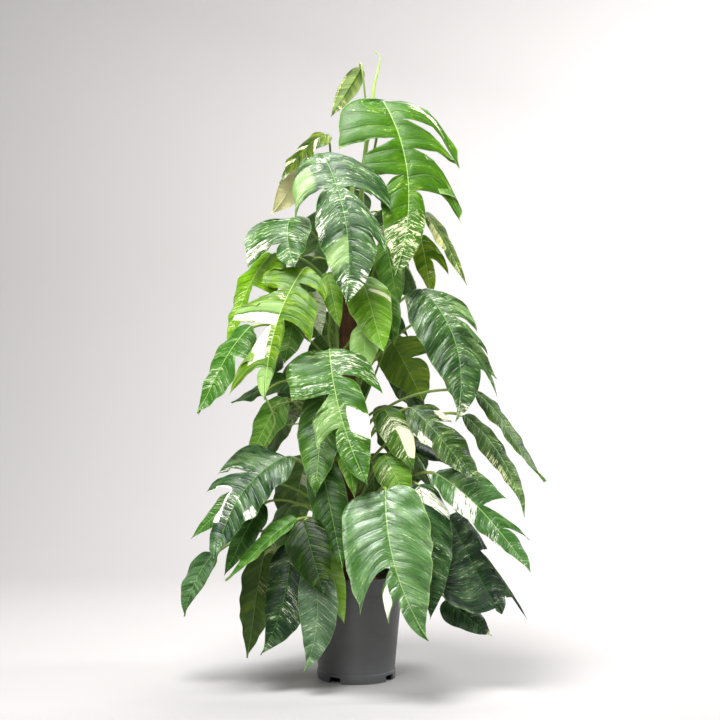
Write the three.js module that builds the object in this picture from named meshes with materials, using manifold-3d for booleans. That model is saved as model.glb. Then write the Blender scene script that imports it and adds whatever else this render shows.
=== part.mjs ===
// A potted variegated Epipremnum pinnatum: leafy vines on a coir pole in a nursery pot.
// Millimetres, +Z up. The origin is on the ground at the middle of the pot's foot, and the
// plant's best side faces -Y.
import * as THREE from "three";
import { mergeVertices } from "three/addons/utils/BufferGeometryUtils.js";
import Module from "manifold-3d";

const wasm = await Module();
wasm.setup();

// Driving dimensions of the pot: a 21 cm nursery pot with a notched foot.
const POT_HEIGHT = 225;
const RIM_RADIUS = 105;
const RIM_BAND = 38;
const RIM_STEP = 4;
const FOOT_RADIUS = 85;
const FOOT_HEIGHT = 19;
const FOOT_RING = 3.5;
const WALL = 2.4;
const FLOOR_RAISE = 11;
const CENTRE_PAD = 44;
const PAD_SLOPE = 8;
const EASE = 1.5;
const POT_SIDES = 24;
const NOTCHES = 4;
const NOTCH_TURN = -33;
const NOTCH_WIDTH = 28;
const NOTCH_HEIGHT = 13;
const NOTCH_DEPTH = 27;
const DRAIN_HOLES = 8;
const DRAIN_RADIUS = 6;
const DRAIN_RING = 66;

// The potting mix, and the coir pole that stands a little left of the pot's middle.
const SOIL_TOP = 203;
const SOIL_MOUND = 6;
const MOUND_RADIUS = 60;
const POLE_X = -16;
const POLE_RADIUS = 22;
const POLE_FOOT = 60;
const POLE_TOP = 1040;
const POLE_SIDES = 16;
const GAP = 0.35;

// Three vines climb the pole. turn is the side of the pole that each one is on, in degrees
// from the front towards +X, wander how far it strays from it, and lean carries its free end
// on past the pole's top.
const STEM_RADIUS = 6.5;
const STEM_SIDES = 7;
const STEM_FOOT = 120;
const STEM_STEP = 60;
const STEM_OFF_POLE = POLE_RADIUS + STEM_RADIUS + 1;
const WANDER_HEIGHT = 190;
const LEAN_HEIGHT = 200;
const VINES = {
  left: { turn: -78, wander: 12, phase: 0.4, top: 1120, lean: [10, -4] },
  right: { turn: 52, wander: 14, phase: 2.1, top: 1255, lean: [22, 8] },
  back: { turn: 172, wander: 14, phase: 4.0, top: 1105, lean: [6, 0] },
};

// The rolled new leaf on the end of the right vine.
const SHOOT_POINTS = [[40, -4, 1300], [49, -5, 1336], [51, -6, 1362], [38, -8, 1374]];
const SHOOT_RADIUS = [4.2, 1];
const SHOOT_STEPS = 12;
const SHOOT_SIDES = 5;

// Leaf build: the blade, its rib, the leaf stalk, and the web beside the rib that slits stop
// at. FOLD, DROOP and HEART hold for a leaf that names none of its own.
const BLADE = 1.1;
const RIB_DEPTH = 2.2;
const WEB = 11;
const FOLD = 0.16;
const DROOP = 0.26;
const HEART = 0.3;
const BLADE_COLUMNS = [0.5, 1];
const LOBE_COLUMNS = [0.4, 0.75, 1];
const GROWN_COLUMNS = [1];
const ROW_STEP = 0.24;
const FIRST_ROW = 0.05;

// The stalk starts inside its vine, runs out and up, arches over and ends inside the blade.
// RUN, RISE and BACK are shares of the way from the vine to the blade.
const STALK_RADIUS = 3.7;
const STALK_SIDES = 5;
const STALK_STEPS = 4;
const STALK_ROOT = 3;
const STALK_RUN = 0.22;
const STALK_RISE = 0.4;
const STALK_BACK = 0.25;
const STALK_INTO = 7;
const STALK_UNDER = 1.2;

// One entry for each leaf. vine and from say which vine bears it and at what height. base and
// tip are the blade's two ends, half its greatest half widths left and right of the rib, seen
// from above with the tip down, and face the way it looks: [turn, tilt] in degrees, where
// 0, 0 looks along -Y, turn goes round to +X and tilt goes up. lift and curl bow the rib
// outwards near its base and its tip, and bend bows it to the right, as shares of the length.
// fold raises the halves and droop lets their edges fall. Each split in left and right is
// [end, reach, drop, broad]: the slit below the lobe as a share of the blade, how far out and
// how far down the lobe's tip lies, and 0 for a narrow lobe up to 1 for a broad one. A fifth
// number bows a lobe more. heart is how far the blade's base reaches back beside the stalk. A
// leaf that is grown is one piece with its vine, as the small inner leaves are.
const LEAVES = [
  { name: "leaf_crown", vine: "right", from: 1215, base: [10, -12, 1334], tip: [-56, -30, 1224],
    half: [20, 23], face: [165, 20], lift: 0.12, fold: 0.35, droop: 0.2, stalk: [0, 0.35] },
  { name: "leaf_top_split", vine: "right", from: 1070, base: [58, -62, 1250],
    tip: [80, -172, 863], half: [58, 36], face: [6, 20], lift: 0.08, curl: 0.02, bend: 0.13,
    droop: 0.3, left: [[0.235, 118, 116, 1], [0.45, 88, 80, 0.7]],
    right: [[0.12, 146, 160, 0, 2.6], [0.3, 122, 108, 0.1], [0.54, 110, 178, 0.4, 3]] },
  { name: "leaf_upper_split", vine: "left", from: 1010, base: [-72, -122, 1127],
    tip: [-21, -226, 801], half: [62, 56], face: [-4, 20], lift: 0.08, curl: 0.02, bend: 0.1,
    droop: 0.3, left: [[0.26, 88, 142, 0.7, 3]],
    right: [[0.27, 111, 160, 0.6], [0.53, 74, 160, 0.5]] },
  { name: "leaf_left_shoulder", vine: "left", from: 1085, base: [-66, -68, 1178],
    tip: [-165, -90, 1069], half: [46, 48], face: [-45, 45], lift: 0.15, curl: 0.05 },
  { name: "leaf_left_tan", vine: "left", from: 1035, base: [-112, -12, 1105],
    tip: [-184, -35, 1010], half: [34, 34], face: [-150, 20], lift: 0.1 },
  { name: "leaf_left_marbled", vine: "left", from: 900, base: [-141, -100, 992],
    tip: [-127, -165, 882], half: [30, 52], face: [-20, 40], lift: 0.15, bend: -0.08,
    left: [[0.5, 98, 98, 1]] },
  { name: "leaf_lime_split", vine: "left", from: 800, base: [-109, -135, 883],
    tip: [-185, -222, 606], half: [18, 22], face: [-10, 22], lift: 0.08, bend: -0.09,
    left: [[0.2, 72, 54, 0.5], [0.47, 97, 87, 0.45], [0.78, 56, 170, 0.5, 1.6]],
    right: [[0.13, 72, 69, 0.4], [0.42, 75, 122, 0.9]] },
  { name: "leaf_left_edge", vine: "left", from: 840, base: [-183, -70, 920],
    tip: [-279, -80, 717], half: [42, 22], face: [-48, 15], lift: 0.1, bend: -0.05,
    right: [[0.36, 84, 84, 1]] },
  { name: "leaf_left_tip", vine: "left", from: 672, base: [-223, -105, 763],
    tip: [-328, -150, 576], half: [36, 40], face: [-30, 25], lift: 0.08, bend: -0.05,
    right: [[0.35, 40, 72, 0.8]] },
  { name: "leaf_left_dark", vine: "left", from: 560, base: [-130, -2, 655],
    tip: [-275, 4, 597], half: [42, 42], face: [-20, 60], lift: 0.12 },
  { name: "leaf_left_inner", vine: "left", from: 706, base: [-132, -72, 780],
    tip: [-154, -92, 682], half: [30, 30], face: [-10, 15], lift: 0.1, grown: true },
  { name: "leaf_centre_split", vine: "left", from: 600, base: [-56, -150, 711],
    tip: [23, -255, 436], half: [26, 56], face: [0, 22], lift: 0.08, curl: 0.02, bend: -0.065,
    left: [[0.33, 94, 92, 1], [0.58, 62, 107, 0.7]], right: [[0.22, 84, 126, 0.8]] },
  { name: "leaf_centre_left", vine: "left", from: 500, base: [-65, -128, 620],
    tip: [-84, -212, 411], half: [50, 45], face: [-5, 20], lift: 0.08 },
  { name: "leaf_centre_tip", vine: "left", from: 450, base: [-28, -140, 560],
    tip: [-3, -222, 408], half: [26, 26], face: [5, 20], lift: 0.05, grown: true },
  { name: "leaf_mid_bright", vine: "right", from: 745, base: [12, -112, 862],
    tip: [56, -188, 701], half: [46, 46], face: [5, 25], lift: 0.1 },
  { name: "leaf_mid_grey", vine: "right", from: 655, base: [20, -104, 765],
    tip: [12, -172, 654], half: [32, 32], face: [0, 25], lift: 0.1 },
  { name: "leaf_inner_left", vine: "left", from: 760, base: [-62, -92, 877],
    tip: [-35, -125, 755], half: [22, 22], face: [0, 15], lift: 0.1, grown: true },
  { name: "leaf_inner_right", vine: "right", from: 775, base: [71, -68, 843],
    tip: [79, -100, 717], half: [22, 22], face: [20, 15], lift: 0.1, grown: true },
  { name: "leaf_right_olive", vine: "right", from: 895, base: [138, -20, 965],
    tip: [162, -48, 832], half: [28, 20], face: [20, 20], lift: 0.1,
    right: [[0.42, 50, 95, 0.4]], grown: true },
  { name: "leaf_right_strip", vine: "right", from: 932, base: [150, -45, 1012],
    tip: [238, -72, 852], half: [22, 22], face: [35, 30], lift: 0.1 },
  { name: "leaf_right_big", vine: "right", from: 700, base: [139, -100, 841],
    tip: [204, -205, 565], half: [70, 40], face: [8, 22], lift: 0.08, bend: 0.17,
    right: [[0.25, 76, 120, 0.6], [0.4, 68, 99, 0.3], [0.53, 60, 148, 0.5]] },
  { name: "leaf_right_behind", vine: "right", from: 640, base: [178, -42, 790],
    tip: [300, -72, 650], half: [35, 35], face: [25, 25], lift: 0.1 },
  { name: "leaf_right_backlit", vine: "right", from: 580, base: [78, 13, 735],
    tip: [150, 27, 600], half: [46, 56], face: [172, 25], lift: 0.1,
    left: [[0.35, 104, 88, 0.4]] },
  { name: "leaf_right_mid", vine: "right", from: 480, base: [114, -105, 590],
    tip: [250, -190, 434], half: [38, 46], face: [12, 35], lift: 0.1,
    right: [[0.26, 48, 82, 0.8]] },
  { name: "leaf_cream", vine: "right", from: 450, base: [61, -118, 584],
    tip: [120, -158, 460], half: [34, 34], face: [5, 20], lift: 0.1 },
  { name: "leaf_low_centre", vine: "right", from: 380, base: [60, -128, 489],
    tip: [106, -176, 395], half: [38, 38], face: [5, 25], lift: 0.1 },
  { name: "leaf_right_narrow", vine: "right", from: 520, base: [258, -60, 622],
    tip: [399, -90, 430], half: [27, 27], face: [35, 45], lift: 0.1 },
  { name: "leaf_right_twisted", vine: "right", from: 430, base: [228, -110, 574],
    tip: [352, -140, 362], half: [28, 28], face: [30, 25], lift: 0.05, bend: 0.13 },
  { name: "leaf_right_dark", vine: "right", from: 410, base: [108, -62, 520],
    tip: [228, -112, 458], half: [30, 28], face: [20, 62], lift: 0.1 },
  { name: "leaf_right_low", vine: "right", from: 340, base: [165, -138, 453],
    tip: [353, -215, 258], half: [40, 24], face: [15, 30], lift: 0.1, bend: 0.05,
    right: [[0.42, 72, 138, 0.8], [0.64, 40, 118, 0.4]] },
  { name: "leaf_front_large", vine: "right", from: 300, base: [60, -200, 423],
    tip: [143, -300, 136], half: [20, 86], face: [2, 22], lift: 0.08, curl: 0.02, bend: -0.11,
    left: [[0.5, 98, 232, 1], [0.7, 42, 106, 0.8]] },
  { name: "leaf_front_right", vine: "right", from: 320, base: [130, -150, 430],
    tip: [149, -225, 163], half: [55, 52], face: [10, 18], lift: 0.08, bend: 0.05 },
  { name: "leaf_right_bottom", vine: "right", from: 260, base: [193, -100, 360],
    tip: [300, -160, 163], half: [9, 44], face: [20, 20], lift: 0.1,
    left: [[0.93, 84, 168, 1, 1.9]],
    right: [[0.42, 46, 100, 1], [0.58, 56, 168, 0.35, 1.6]], web: 30, bend: -0.04 },
  { name: "leaf_right_foot", vine: "right", from: 230, base: [190, -80, 180],
    tip: [284, -120, 110], half: [36, 34], face: [15, 20], lift: 0.1 },
  { name: "leaf_left_low", vine: "left", from: 370, base: [-149, -125, 487],
    tip: [-285, -215, 272], half: [26, 58], face: [-20, 32], lift: 0.1, bend: -0.17, web: 24,
    left: [[0.25, 108, 95, 0.8], [0.43, 84, 80, 0.6]], heart: 0.5 },
  { name: "leaf_left_low_back", vine: "left", from: 330, base: [-215, -72, 430],
    tip: [-351, -100, 312], half: [30, 30], face: [-30, 30], lift: 0.1, grown: true },
  { name: "leaf_left_far", vine: "left", from: 274, base: [-305, -75, 276],
    tip: [-364, -108, 150], half: [36, 24], face: [-25, 15], lift: 0.08, bend: -0.08 },
  { name: "leaf_left_folded", vine: "left", from: 290, base: [-125, -150, 360],
    tip: [-266, -190, 235], half: [26, 26], face: [-30, 55], lift: 0.08, fold: 0.5 },
  { name: "leaf_left_shade", vine: "left", from: 310, base: [-200, -90, 385],
    tip: [-278, -122, 237], half: [30, 30], face: [-20, 20], lift: 0.08, grown: true },
  { name: "leaf_front_left", vine: "left", from: 258, base: [-109, -170, 357],
    tip: [-64, -225, 211], half: [50, 42], face: [-8, 22], lift: 0.1 },
  { name: "leaf_left_bottom_olive", vine: "left", from: 213, base: [-197, -52, 278],
    tip: [-231, -82, 56], half: [42, 42], face: [-155, 10], lift: 0.08 },
  { name: "leaf_left_bottom", vine: "left", from: 236, base: [-138, -118, 298],
    tip: [-196, -165, 80], half: [42, 66], face: [-10, 15], lift: 0.08, bend: 0.1 },
  { name: "leaf_left_bottom_grey", vine: "left", from: 225, base: [-90, -164, 258],
    tip: [-108, -194, 50], half: [38, 44], face: [0, 12], lift: 0.08, bend: 0.12 },
  { name: "leaf_pot_front", vine: "left", from: 248, base: [-58, -125, 282],
    tip: [-25, -142, 140], half: [27, 22], face: [0, 12], lift: 0.05 },
  { name: "leaf_low_dark", vine: "left", from: 400, base: [-75, -135, 479],
    tip: [-27, -185, 257], half: [40, 40], face: [0, 18], lift: 0.08 },
  { name: "leaf_mid_behind", vine: "right", from: 800, base: [62, -55, 945],
    tip: [90, -68, 802], half: [34, 34], face: [15, 20], lift: 0.1, grown: true },
  { name: "leaf_left_behind", vine: "left", from: 470, base: [-160, -50, 610],
    tip: [-232, -78, 470], half: [36, 36], face: [-25, 20], lift: 0.1, grown: true },
  { name: "leaf_inner_cream", vine: "left", from: 730, base: [-96, -44, 838],
    tip: [-76, -50, 745], half: [24, 24], face: [165, 16], lift: 0.1, stalk: [0.1, 0.2],
    grown: true },
];

// The leaves round the back hang in rings: each ring's height, and the turns of its leaves.
// The ones near the sides are pieces of their own, and the rest are one with the back vine.
// Radius and length go from the top of the plant to its foot. OUT, DOWN and FALL say how far a
// leaf reaches out and down, and how far below its base its stalk starts.
const BACK_RINGS = [
  [1130, [180]],
  [1030, [128, 212]],
  [925, [108, 168, 236]],
  [810, [140, 196, 245]],
  [700, [128, 180, 232]],
  [590, [132, 192, 250]],
  [480, [104, 160, 220]],
  [370, [130, 188, 238]],
];
const BACK_TOP = 1200;
const BACK_BASE_RADIUS = [70, 190];
const BACK_LENGTH = [165, 235];
const BACK_WIDTH = 0.33;
const BACK_OUT = 0.45;
const BACK_DOWN = 0.9;
const BACK_FALL = 0.62;
const BACK_YAW = 18;
const BACK_TILT = 28;
const SIDE_TURNS = [115, 240];

const V = (x, y, z) => new THREE.Vector3(x, y, z);
const radians = THREE.MathUtils.degToRad;
const mix = THREE.MathUtils.lerp;

const FINISH = {
  pot: { color: 0x3f4245, roughness: 0.55 },
  soil: { color: 0x3a2619, roughness: 1 },
  coir: { color: 0x5a3220, roughness: 1 },
  stem: { color: 0x5f7a34, roughness: 0.6 },
  shoot: { color: 0xb9cf52, roughness: 0.5 },
  leaf: { color: 0x3f7d3a, roughness: 0.4 },
};

function material(kind) {
  return new THREE.MeshStandardMaterial({ metalness: 0, ...FINISH[kind] });
}

function toSolid(geometry) {
  const plain = geometry.clone();
  for (const name of Object.keys(plain.attributes)) {
    if (name !== "position") plain.deleteAttribute(name);
  }
  const merged = mergeVertices(plain, 1e-4);
  return new wasm.Manifold(new wasm.Mesh({
    numProp: 3,
    vertProperties: new Float32Array(merged.attributes.position.array),
    triVerts: new Uint32Array(merged.index.array),
  }));
}

function toGeometry(solid) {
  const mesh = solid.getMesh();
  const geometry = new THREE.BufferGeometry();
  geometry.setAttribute("position", new THREE.BufferAttribute(mesh.vertProperties, 3));
  geometry.setIndex(new THREE.BufferAttribute(mesh.triVerts, 1));
  geometry.computeVertexNormals();
  return geometry;
}

function piece(name, kind, solid) {
  const mesh = new THREE.Mesh(toGeometry(solid), material(kind));
  mesh.name = name;
  return mesh;
}

// A solid of revolution about Z from [radius, height] points that start and end on the axis.
function turned(profile, sides) {
  const points = profile.map(([r, z]) => new THREE.Vector2(r, z));
  return toSolid(new THREE.LatheGeometry(points, sides).rotateX(Math.PI / 2));
}

function polygon(radius, sides) {
  const corners = Array.from({ length: sides }, (_, i) => {
    const a = (2 * Math.PI * i) / sides;
    return new THREE.Vector2(radius * Math.cos(a), radius * Math.sin(a));
  });
  return new THREE.Shape(corners);
}

function tube(path, radius, sides, steps) {
  const options = { steps, extrudePath: path, bevelEnabled: false };
  return toSolid(new THREE.ExtrudeGeometry(polygon(radius, sides), options));
}

function upright(radius, sides, bottom, top, x = 0, y = 0) {
  const shape = new THREE.CylinderGeometry(radius, radius, top - bottom, sides);
  return toSolid(shape.rotateX(Math.PI / 2).translate(x, y, (top + bottom) / 2));
}

// The pot: a thin tapered wall with a rim band, on a notched foot ring with a flat middle pad.
function potSolid() {
  const bodyTop = POT_HEIGHT - RIM_BAND;
  const underRim = RIM_RADIUS - RIM_STEP;
  const outside = [
    [0, 0], [CENTRE_PAD, 0], [CENTRE_PAD + PAD_SLOPE, FLOOR_RAISE],
    [FOOT_RADIUS - FOOT_RING - 2, FLOOR_RAISE], [FOOT_RADIUS - FOOT_RING, 0], [FOOT_RADIUS, 0],
    [FOOT_RADIUS + 1, FOOT_HEIGHT - EASE], [FOOT_RADIUS - 1, FOOT_HEIGHT],
    [underRim - EASE, bodyTop], [underRim + EASE, bodyTop + EASE],
    [RIM_RADIUS - EASE / 4, POT_HEIGHT - EASE], [RIM_RADIUS - 1, POT_HEIGHT],
  ];
  const inside = [
    [RIM_RADIUS - WALL, POT_HEIGHT], [underRim + EASE - WALL, bodyTop + EASE + WALL],
    [underRim - EASE - WALL, bodyTop + EASE / 3], [FOOT_RADIUS - 1 - WALL, FOOT_HEIGHT + 2],
    [FOOT_RADIUS - 6, FLOOR_RAISE + WALL], [CENTRE_PAD + PAD_SLOPE - 1, FLOOR_RAISE + WALL],
    [CENTRE_PAD - 1, WALL], [0, WALL],
  ];
  let pot = turned([...outside, ...inside], POT_SIDES);
  for (let i = 0; i < NOTCHES; i += 1) {
    const box = new THREE.BoxGeometry(NOTCH_WIDTH, NOTCH_DEPTH, 2 * NOTCH_HEIGHT);
    box.translate(0, -FOOT_RADIUS, 0).rotateZ(radians(NOTCH_TURN + (360 * i) / NOTCHES));
    pot = pot.subtract(toSolid(box));
  }
  for (let i = 0; i < DRAIN_HOLES; i += 1) {
    const a = (2 * Math.PI * (i + 0.5)) / DRAIN_HOLES;
    const [x, y] = [DRAIN_RING * Math.sin(a), -DRAIN_RING * Math.cos(a)];
    pot = pot.subtract(upright(DRAIN_RADIUS, 6, 0, 2 * FLOOR_RAISE, x, y));
  }
  return pot;
}

// The potting mix fills the pot up to below its rim, with plain holes for pole and vines.
function soilSolid() {
  const bodyTop = POT_HEIGHT - RIM_BAND;
  const wallTop = RIM_RADIUS - RIM_STEP - EASE - WALL - GAP;
  const floor = FLOOR_RAISE + WALL + 2 * GAP;
  const top = [
    [0, SOIL_TOP + SOIL_MOUND], [MOUND_RADIUS, SOIL_TOP + SOIL_MOUND - 2],
    [wallTop + EASE, SOIL_TOP],
  ];
  const wall = [
    [wallTop + EASE, bodyTop + 2 * WALL], [wallTop, bodyTop],
    [FOOT_RADIUS - 1 - WALL - GAP, FOOT_HEIGHT + 2 + 2 * GAP], [FOOT_RADIUS - 7, floor],
    [CENTRE_PAD + PAD_SLOPE - 1, floor], [CENTRE_PAD - EASE, WALL + GAP], [0, WALL + GAP],
  ];
  let soil = turned([...top, ...wall].reverse(), POT_SIDES);
  soil = soil.subtract(poleSolid(2 * GAP));
  for (const name of Object.keys(VINES)) soil = soil.subtract(stemSolid(name, 2 * GAP));
  return soil;
}

function poleSolid(grow = 0) {
  return upright(POLE_RADIUS + grow, POLE_SIDES, POLE_FOOT - grow, POLE_TOP, POLE_X, 0);
}

// Where a vine's middle line is at a height: it wanders round the pole, and runs straight
// down into the mix.
function stemPoint(name, height) {
  const vine = VINES[name];
  const z = Math.max(height, SOIL_TOP);
  const turn = radians(vine.turn + vine.wander * Math.sin(z / WANDER_HEIGHT + vine.phase));
  const past = Math.max(0, (z - POLE_TOP) / LEAN_HEIGHT) ** 1.5;
  return V(
    POLE_X + STEM_OFF_POLE * Math.sin(turn) + vine.lean[0] * past,
    -STEM_OFF_POLE * Math.cos(turn) + vine.lean[1] * past,
    height,
  );
}

function stemSolid(name, grow = 0) {
  const { top } = VINES[name];
  const count = Math.round((top - STEM_FOOT) / STEM_STEP);
  const points = Array.from({ length: count + 1 }, (_, i) => {
    return stemPoint(name, mix(STEM_FOOT - grow, top, i / count));
  });
  const path = new THREE.CatmullRomCurve3(points, false, "centripetal");
  return tube(path, STEM_RADIUS + grow, STEM_SIDES, count);
}

// The rolled new leaf rises from the right vine's end and curls over at its tip.
function shootSolid() {
  const start = stemPoint("right", VINES.right.top + GAP);
  const path = new THREE.CatmullRomCurve3([start, ...SHOOT_POINTS.map((p) => V(...p))]);
  const shape = polygon(1, SHOOT_SIDES);
  const options = { steps: SHOOT_STEPS, extrudePath: path, bevelEnabled: false };
  const geometry = new THREE.ExtrudeGeometry(shape, options);
  const position = geometry.attributes.position;
  const middles = path.getSpacedPoints(SHOOT_STEPS);
  for (let i = 0; i < position.count; i += 1) {
    const p = V(0, 0, 0).fromBufferAttribute(position, i);
    const distances = middles.map((middle) => middle.distanceTo(p));
    const at = distances.indexOf(Math.min(...distances));
    const radius = mix(...SHOOT_RADIUS, at / SHOOT_STEPS);
    p.sub(middles[at]).multiplyScalar(radius).add(middles[at]);
    position.setXYZ(i, p.x, p.y, p.z);
  }
  return toSolid(geometry);
}

// A leaf's own frame: down runs from the blade's base to its tip, out is the way its upper
// face looks, and side is to the right.
function leafFrame(leaf) {
  const base = V(...leaf.base);
  const down = V(...leaf.tip).sub(base);
  const length = down.length();
  down.normalize();
  const [turn, tilt] = leaf.face.map(radians);
  const out = V(
    Math.sin(turn) * Math.cos(tilt), -Math.cos(turn) * Math.cos(tilt), Math.sin(tilt),
  );
  out.addScaledVector(down, -out.dot(down)).normalize();
  const side = V(0, 0, 0).crossVectors(out, down);
  const lobes = [...(leaf.left ?? []), ...(leaf.right ?? [])];
  const reach = Math.max(...leaf.half, ...lobes.map((lobe) => lobe[1]));
  return { ...leaf, base, down, length, out, side, reach };
}

// How far the rib is bowed to the right at a share x of the blade.
function sway(leaf, x) {
  return 3 * (leaf.bend ?? 0) * leaf.length * x * (1 - x);
}

// A point of the blade, along its length and across from its rib. The blade is bowed along
// the rib, folded up beside it, and droops towards its edges.
function bladePoint(leaf, along, across, ribShare) {
  const x = along / leaf.length;
  const rise = 3 * x * (1 - x) * ((leaf.lift ?? 0) * (1 - x) + (leaf.curl ?? 0) * x);
  const q = Math.abs(across) / leaf.reach;
  const cup = leaf.reach * ((leaf.fold ?? FOLD) * q - (leaf.droop ?? DROOP) * q * q);
  return leaf.base.clone()
    .addScaledVector(leaf.down, along)
    .addScaledVector(leaf.side, across + sway(leaf, ribShare))
    .addScaledVector(leaf.out, leaf.length * rise + cup);
}

// The shape of an edge that starts at the rib: a quick rise to the full width, and for the
// blade's end a long taper.
const shoulder = (s) => (1 - (1 - s) ** 6) ** 0.55;
const taper = (s) => 1.25 * (1 - s ** 1.9) ** 1.5;
const sweep = (s) => 0.8 * s ** 1.6 * (1 - s) ** 1.2;

// One side of a blade is its lobes in turn and then the undivided end.
function sections(leaf, sign) {
  const lobes = (sign < 0 ? leaf.left : leaf.right) ?? [];
  const web = lobes.length ? leaf.web ?? WEB : 0;
  let start = 0;
  const list = lobes.map(([end, reach, drop, broad, bow = 2 - 0.5 * broad]) => {
    const lobe = { start, end, reach, drop, broad, bow, web };
    start = end;
    return lobe;
  });
  list.push({ start, end: 1, half: leaf.half[sign < 0 ? 0 : 1], web });
  return list;
}

// A point of a section: s runs down the rib from its start to its end, and t outwards.
function sectionPoint(leaf, part, sign, s, t) {
  const share = mix(part.start, part.end, s);
  const width = (part.end - part.start) * leaf.length;
  const web = part.web * (1 - share ** 3);
  let across;
  let along;
  let rib = share;
  if (part.half) {
    across = mix(web, web + (part.half - web) * shoulder(s) * taper(s), t);
    along = share * leaf.length + width * sweep(s) * t ** 1.5;
  } else {
    const edge = Math.max(web, part.reach * (1 - part.broad * (1 - shoulder(s))));
    const fall = part.drop * (1 - part.broad * (1 - s));
    across = mix(web, edge, t);
    along = part.start * leaf.length + mix(s * width, fall, t ** (part.bow + 0.6 * s));
    rib = mix(share, (part.start + part.end) / 2, t);
  }
  if (part.start === 0) along -= (leaf.heart ?? HEART) * across * (1 - s) ** 5 * t;
  return bladePoint(leaf, along, sign * across, rib);
}

// The rows of a blade's mesh: every slit on either side, and even steps between them.
function rowShares(leaf) {
  const slits = [...(leaf.left ?? []), ...(leaf.right ?? [])].map((lobe) => lobe[0]);
  const marks = [...new Set([0, 1, ...slits])].sort((a, b) => a - b);
  const rows = [0];
  for (let i = 1; i < marks.length; i += 1) {
    const count = Math.ceil((marks[i] - marks[i - 1]) / ROW_STEP);
    if (i === 1 || marks[i - 1] >= marks.at(-2)) {
      rows.push(mix(marks[i - 1], marks[i], FIRST_ROW / Math.max(1, count / 2)));
    }
    for (let k = 1; k <= count; k += 1) rows.push(mix(marks[i - 1], marks[i], k / count));
  }
  return rows;
}

// The blade's middle sheet as points and triangles, with equal points shared.
function bladeSheet(leaf) {
  const points = [];
  const known = new Map();
  const faces = [];
  const ribs = new Map();
  const add = (p) => {
    const key = [p.x, p.y, p.z].map((n) => Math.round(n * 1e3)).join();
    if (!known.has(key)) known.set(key, points.push(p) - 1);
    return known.get(key);
  };
  const triangle = (a, b, c) => {
    if (a !== b && b !== c && c !== a) faces.push([a, b, c]);
  };
  const rows = rowShares(leaf);
  for (const sign of [-1, 1]) {
    for (const part of sections(leaf, sign)) {
      const shares = rows.filter((u) => u >= part.start - 1e-6 && u <= part.end + 1e-6);
      const broad = leaf.grown ? GROWN_COLUMNS : BLADE_COLUMNS;
      const columns = part.half || part.broad > 0.5 ? broad : LOBE_COLUMNS;
      const grid = shares.map((u) => {
        const s = (u - part.start) / (part.end - part.start);
        const rib = add(bladePoint(leaf, u * leaf.length, 0, u));
        ribs.set(rib, u);
        const line = part.web ? [rib, add(sectionPoint(leaf, part, sign, s, 0))] : [rib];
        return [...line, ...columns.map((t) => add(sectionPoint(leaf, part, sign, s, t)))];
      });
      for (let i = 1; i < grid.length; i += 1) {
        for (let k = 1; k < grid[i].length; k += 1) {
          const [a, b] = [grid[i - 1][k - 1], grid[i][k - 1]];
          const [c, d] = [grid[i][k], grid[i - 1][k]];
          if (sign > 0) {
            triangle(a, b, c);
            triangle(a, c, d);
          } else {
            triangle(a, c, b);
            triangle(a, d, c);
          }
        }
      }
    }
  }
  return { points, faces, ribs };
}

// The sheet given its thickness, both faces split into triangles alike, with a ridge below
// the rib.
function bladeSolid(leaf) {
  const { points, faces, ribs } = bladeSheet(leaf);
  const normals = points.map(() => V(0, 0, 0));
  const edges = new Map();
  for (const face of faces) {
    const [a, b, c] = face.map((i) => points[i]);
    const normal = b.clone().sub(a).cross(c.clone().sub(a));
    face.forEach((i, k) => {
      normals[i].add(normal);
      const next = face[(k + 1) % 3];
      const back = `${next},${i}`;
      if (edges.has(back)) edges.delete(back);
      else edges.set(`${i},${next}`, [i, next]);
    });
  }
  normals.forEach((n) => n.normalize());
  const count = points.length;
  const upper = points.map((p, i) => p.clone().addScaledVector(normals[i], BLADE / 2));
  const lower = points.map((p, i) => {
    const ridge = ribs.has(i) ? RIB_DEPTH * (1 - ribs.get(i)) : 0;
    return p.clone().addScaledVector(normals[i], -BLADE / 2 - ridge);
  });
  const index = [];
  for (const [a, b, c] of faces) index.push(a, b, c, a + count, c + count, b + count);
  for (const [a, b] of edges.values()) index.push(b, a, a + count, b, a + count, b + count);
  const geometry = new THREE.BufferGeometry().setFromPoints([...upper, ...lower]);
  geometry.setIndex(index);
  return toSolid(geometry);
}

// The leaf stalk leaves its vine upwards and outwards, and arches over into the blade's base
// from behind. stalk moves its arch to the right and up, as shares of its reach.
function stalkPath(leaf) {
  const vine = stemPoint(leaf.vine, leaf.from);
  const away = V(vine.x - POLE_X, vine.y, 0).normalize();
  const aim = V(leaf.base.x - vine.x, leaf.base.y - vine.y, 0).normalize();
  const leave = away.multiplyScalar(0.8).add(aim).normalize();
  const start = vine.clone().addScaledVector(leave, STALK_ROOT);
  const reach = start.distanceTo(leaf.base);
  const [right, up] = leaf.stalk ?? [0, 0.2];
  return new THREE.CubicBezierCurve3(
    start,
    start.clone().addScaledVector(leave, STALK_RUN * reach).add(V(0, 0, STALK_RISE * reach)),
    leaf.base.clone().addScaledVector(leaf.out, -STALK_BACK * reach)
      .addScaledVector(leaf.side, right * reach).add(V(0, 0, up * reach)),
    leaf.base.clone().addScaledVector(leaf.down, STALK_INTO)
      .addScaledVector(leaf.out, -STALK_UNDER),
  );
}

// A leaf with its stalk. The stalk's foot lies close round the vine that bears it.
function leafSolid(entry) {
  const leaf = leafFrame(entry);
  const stalk = tube(stalkPath(leaf), STALK_RADIUS, STALK_SIDES, STALK_STEPS);
  const solid = bladeSolid(leaf).add(stalk);
  return leaf.grown ? solid : solid.subtract(stemSolid(leaf.vine, GAP));
}

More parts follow.
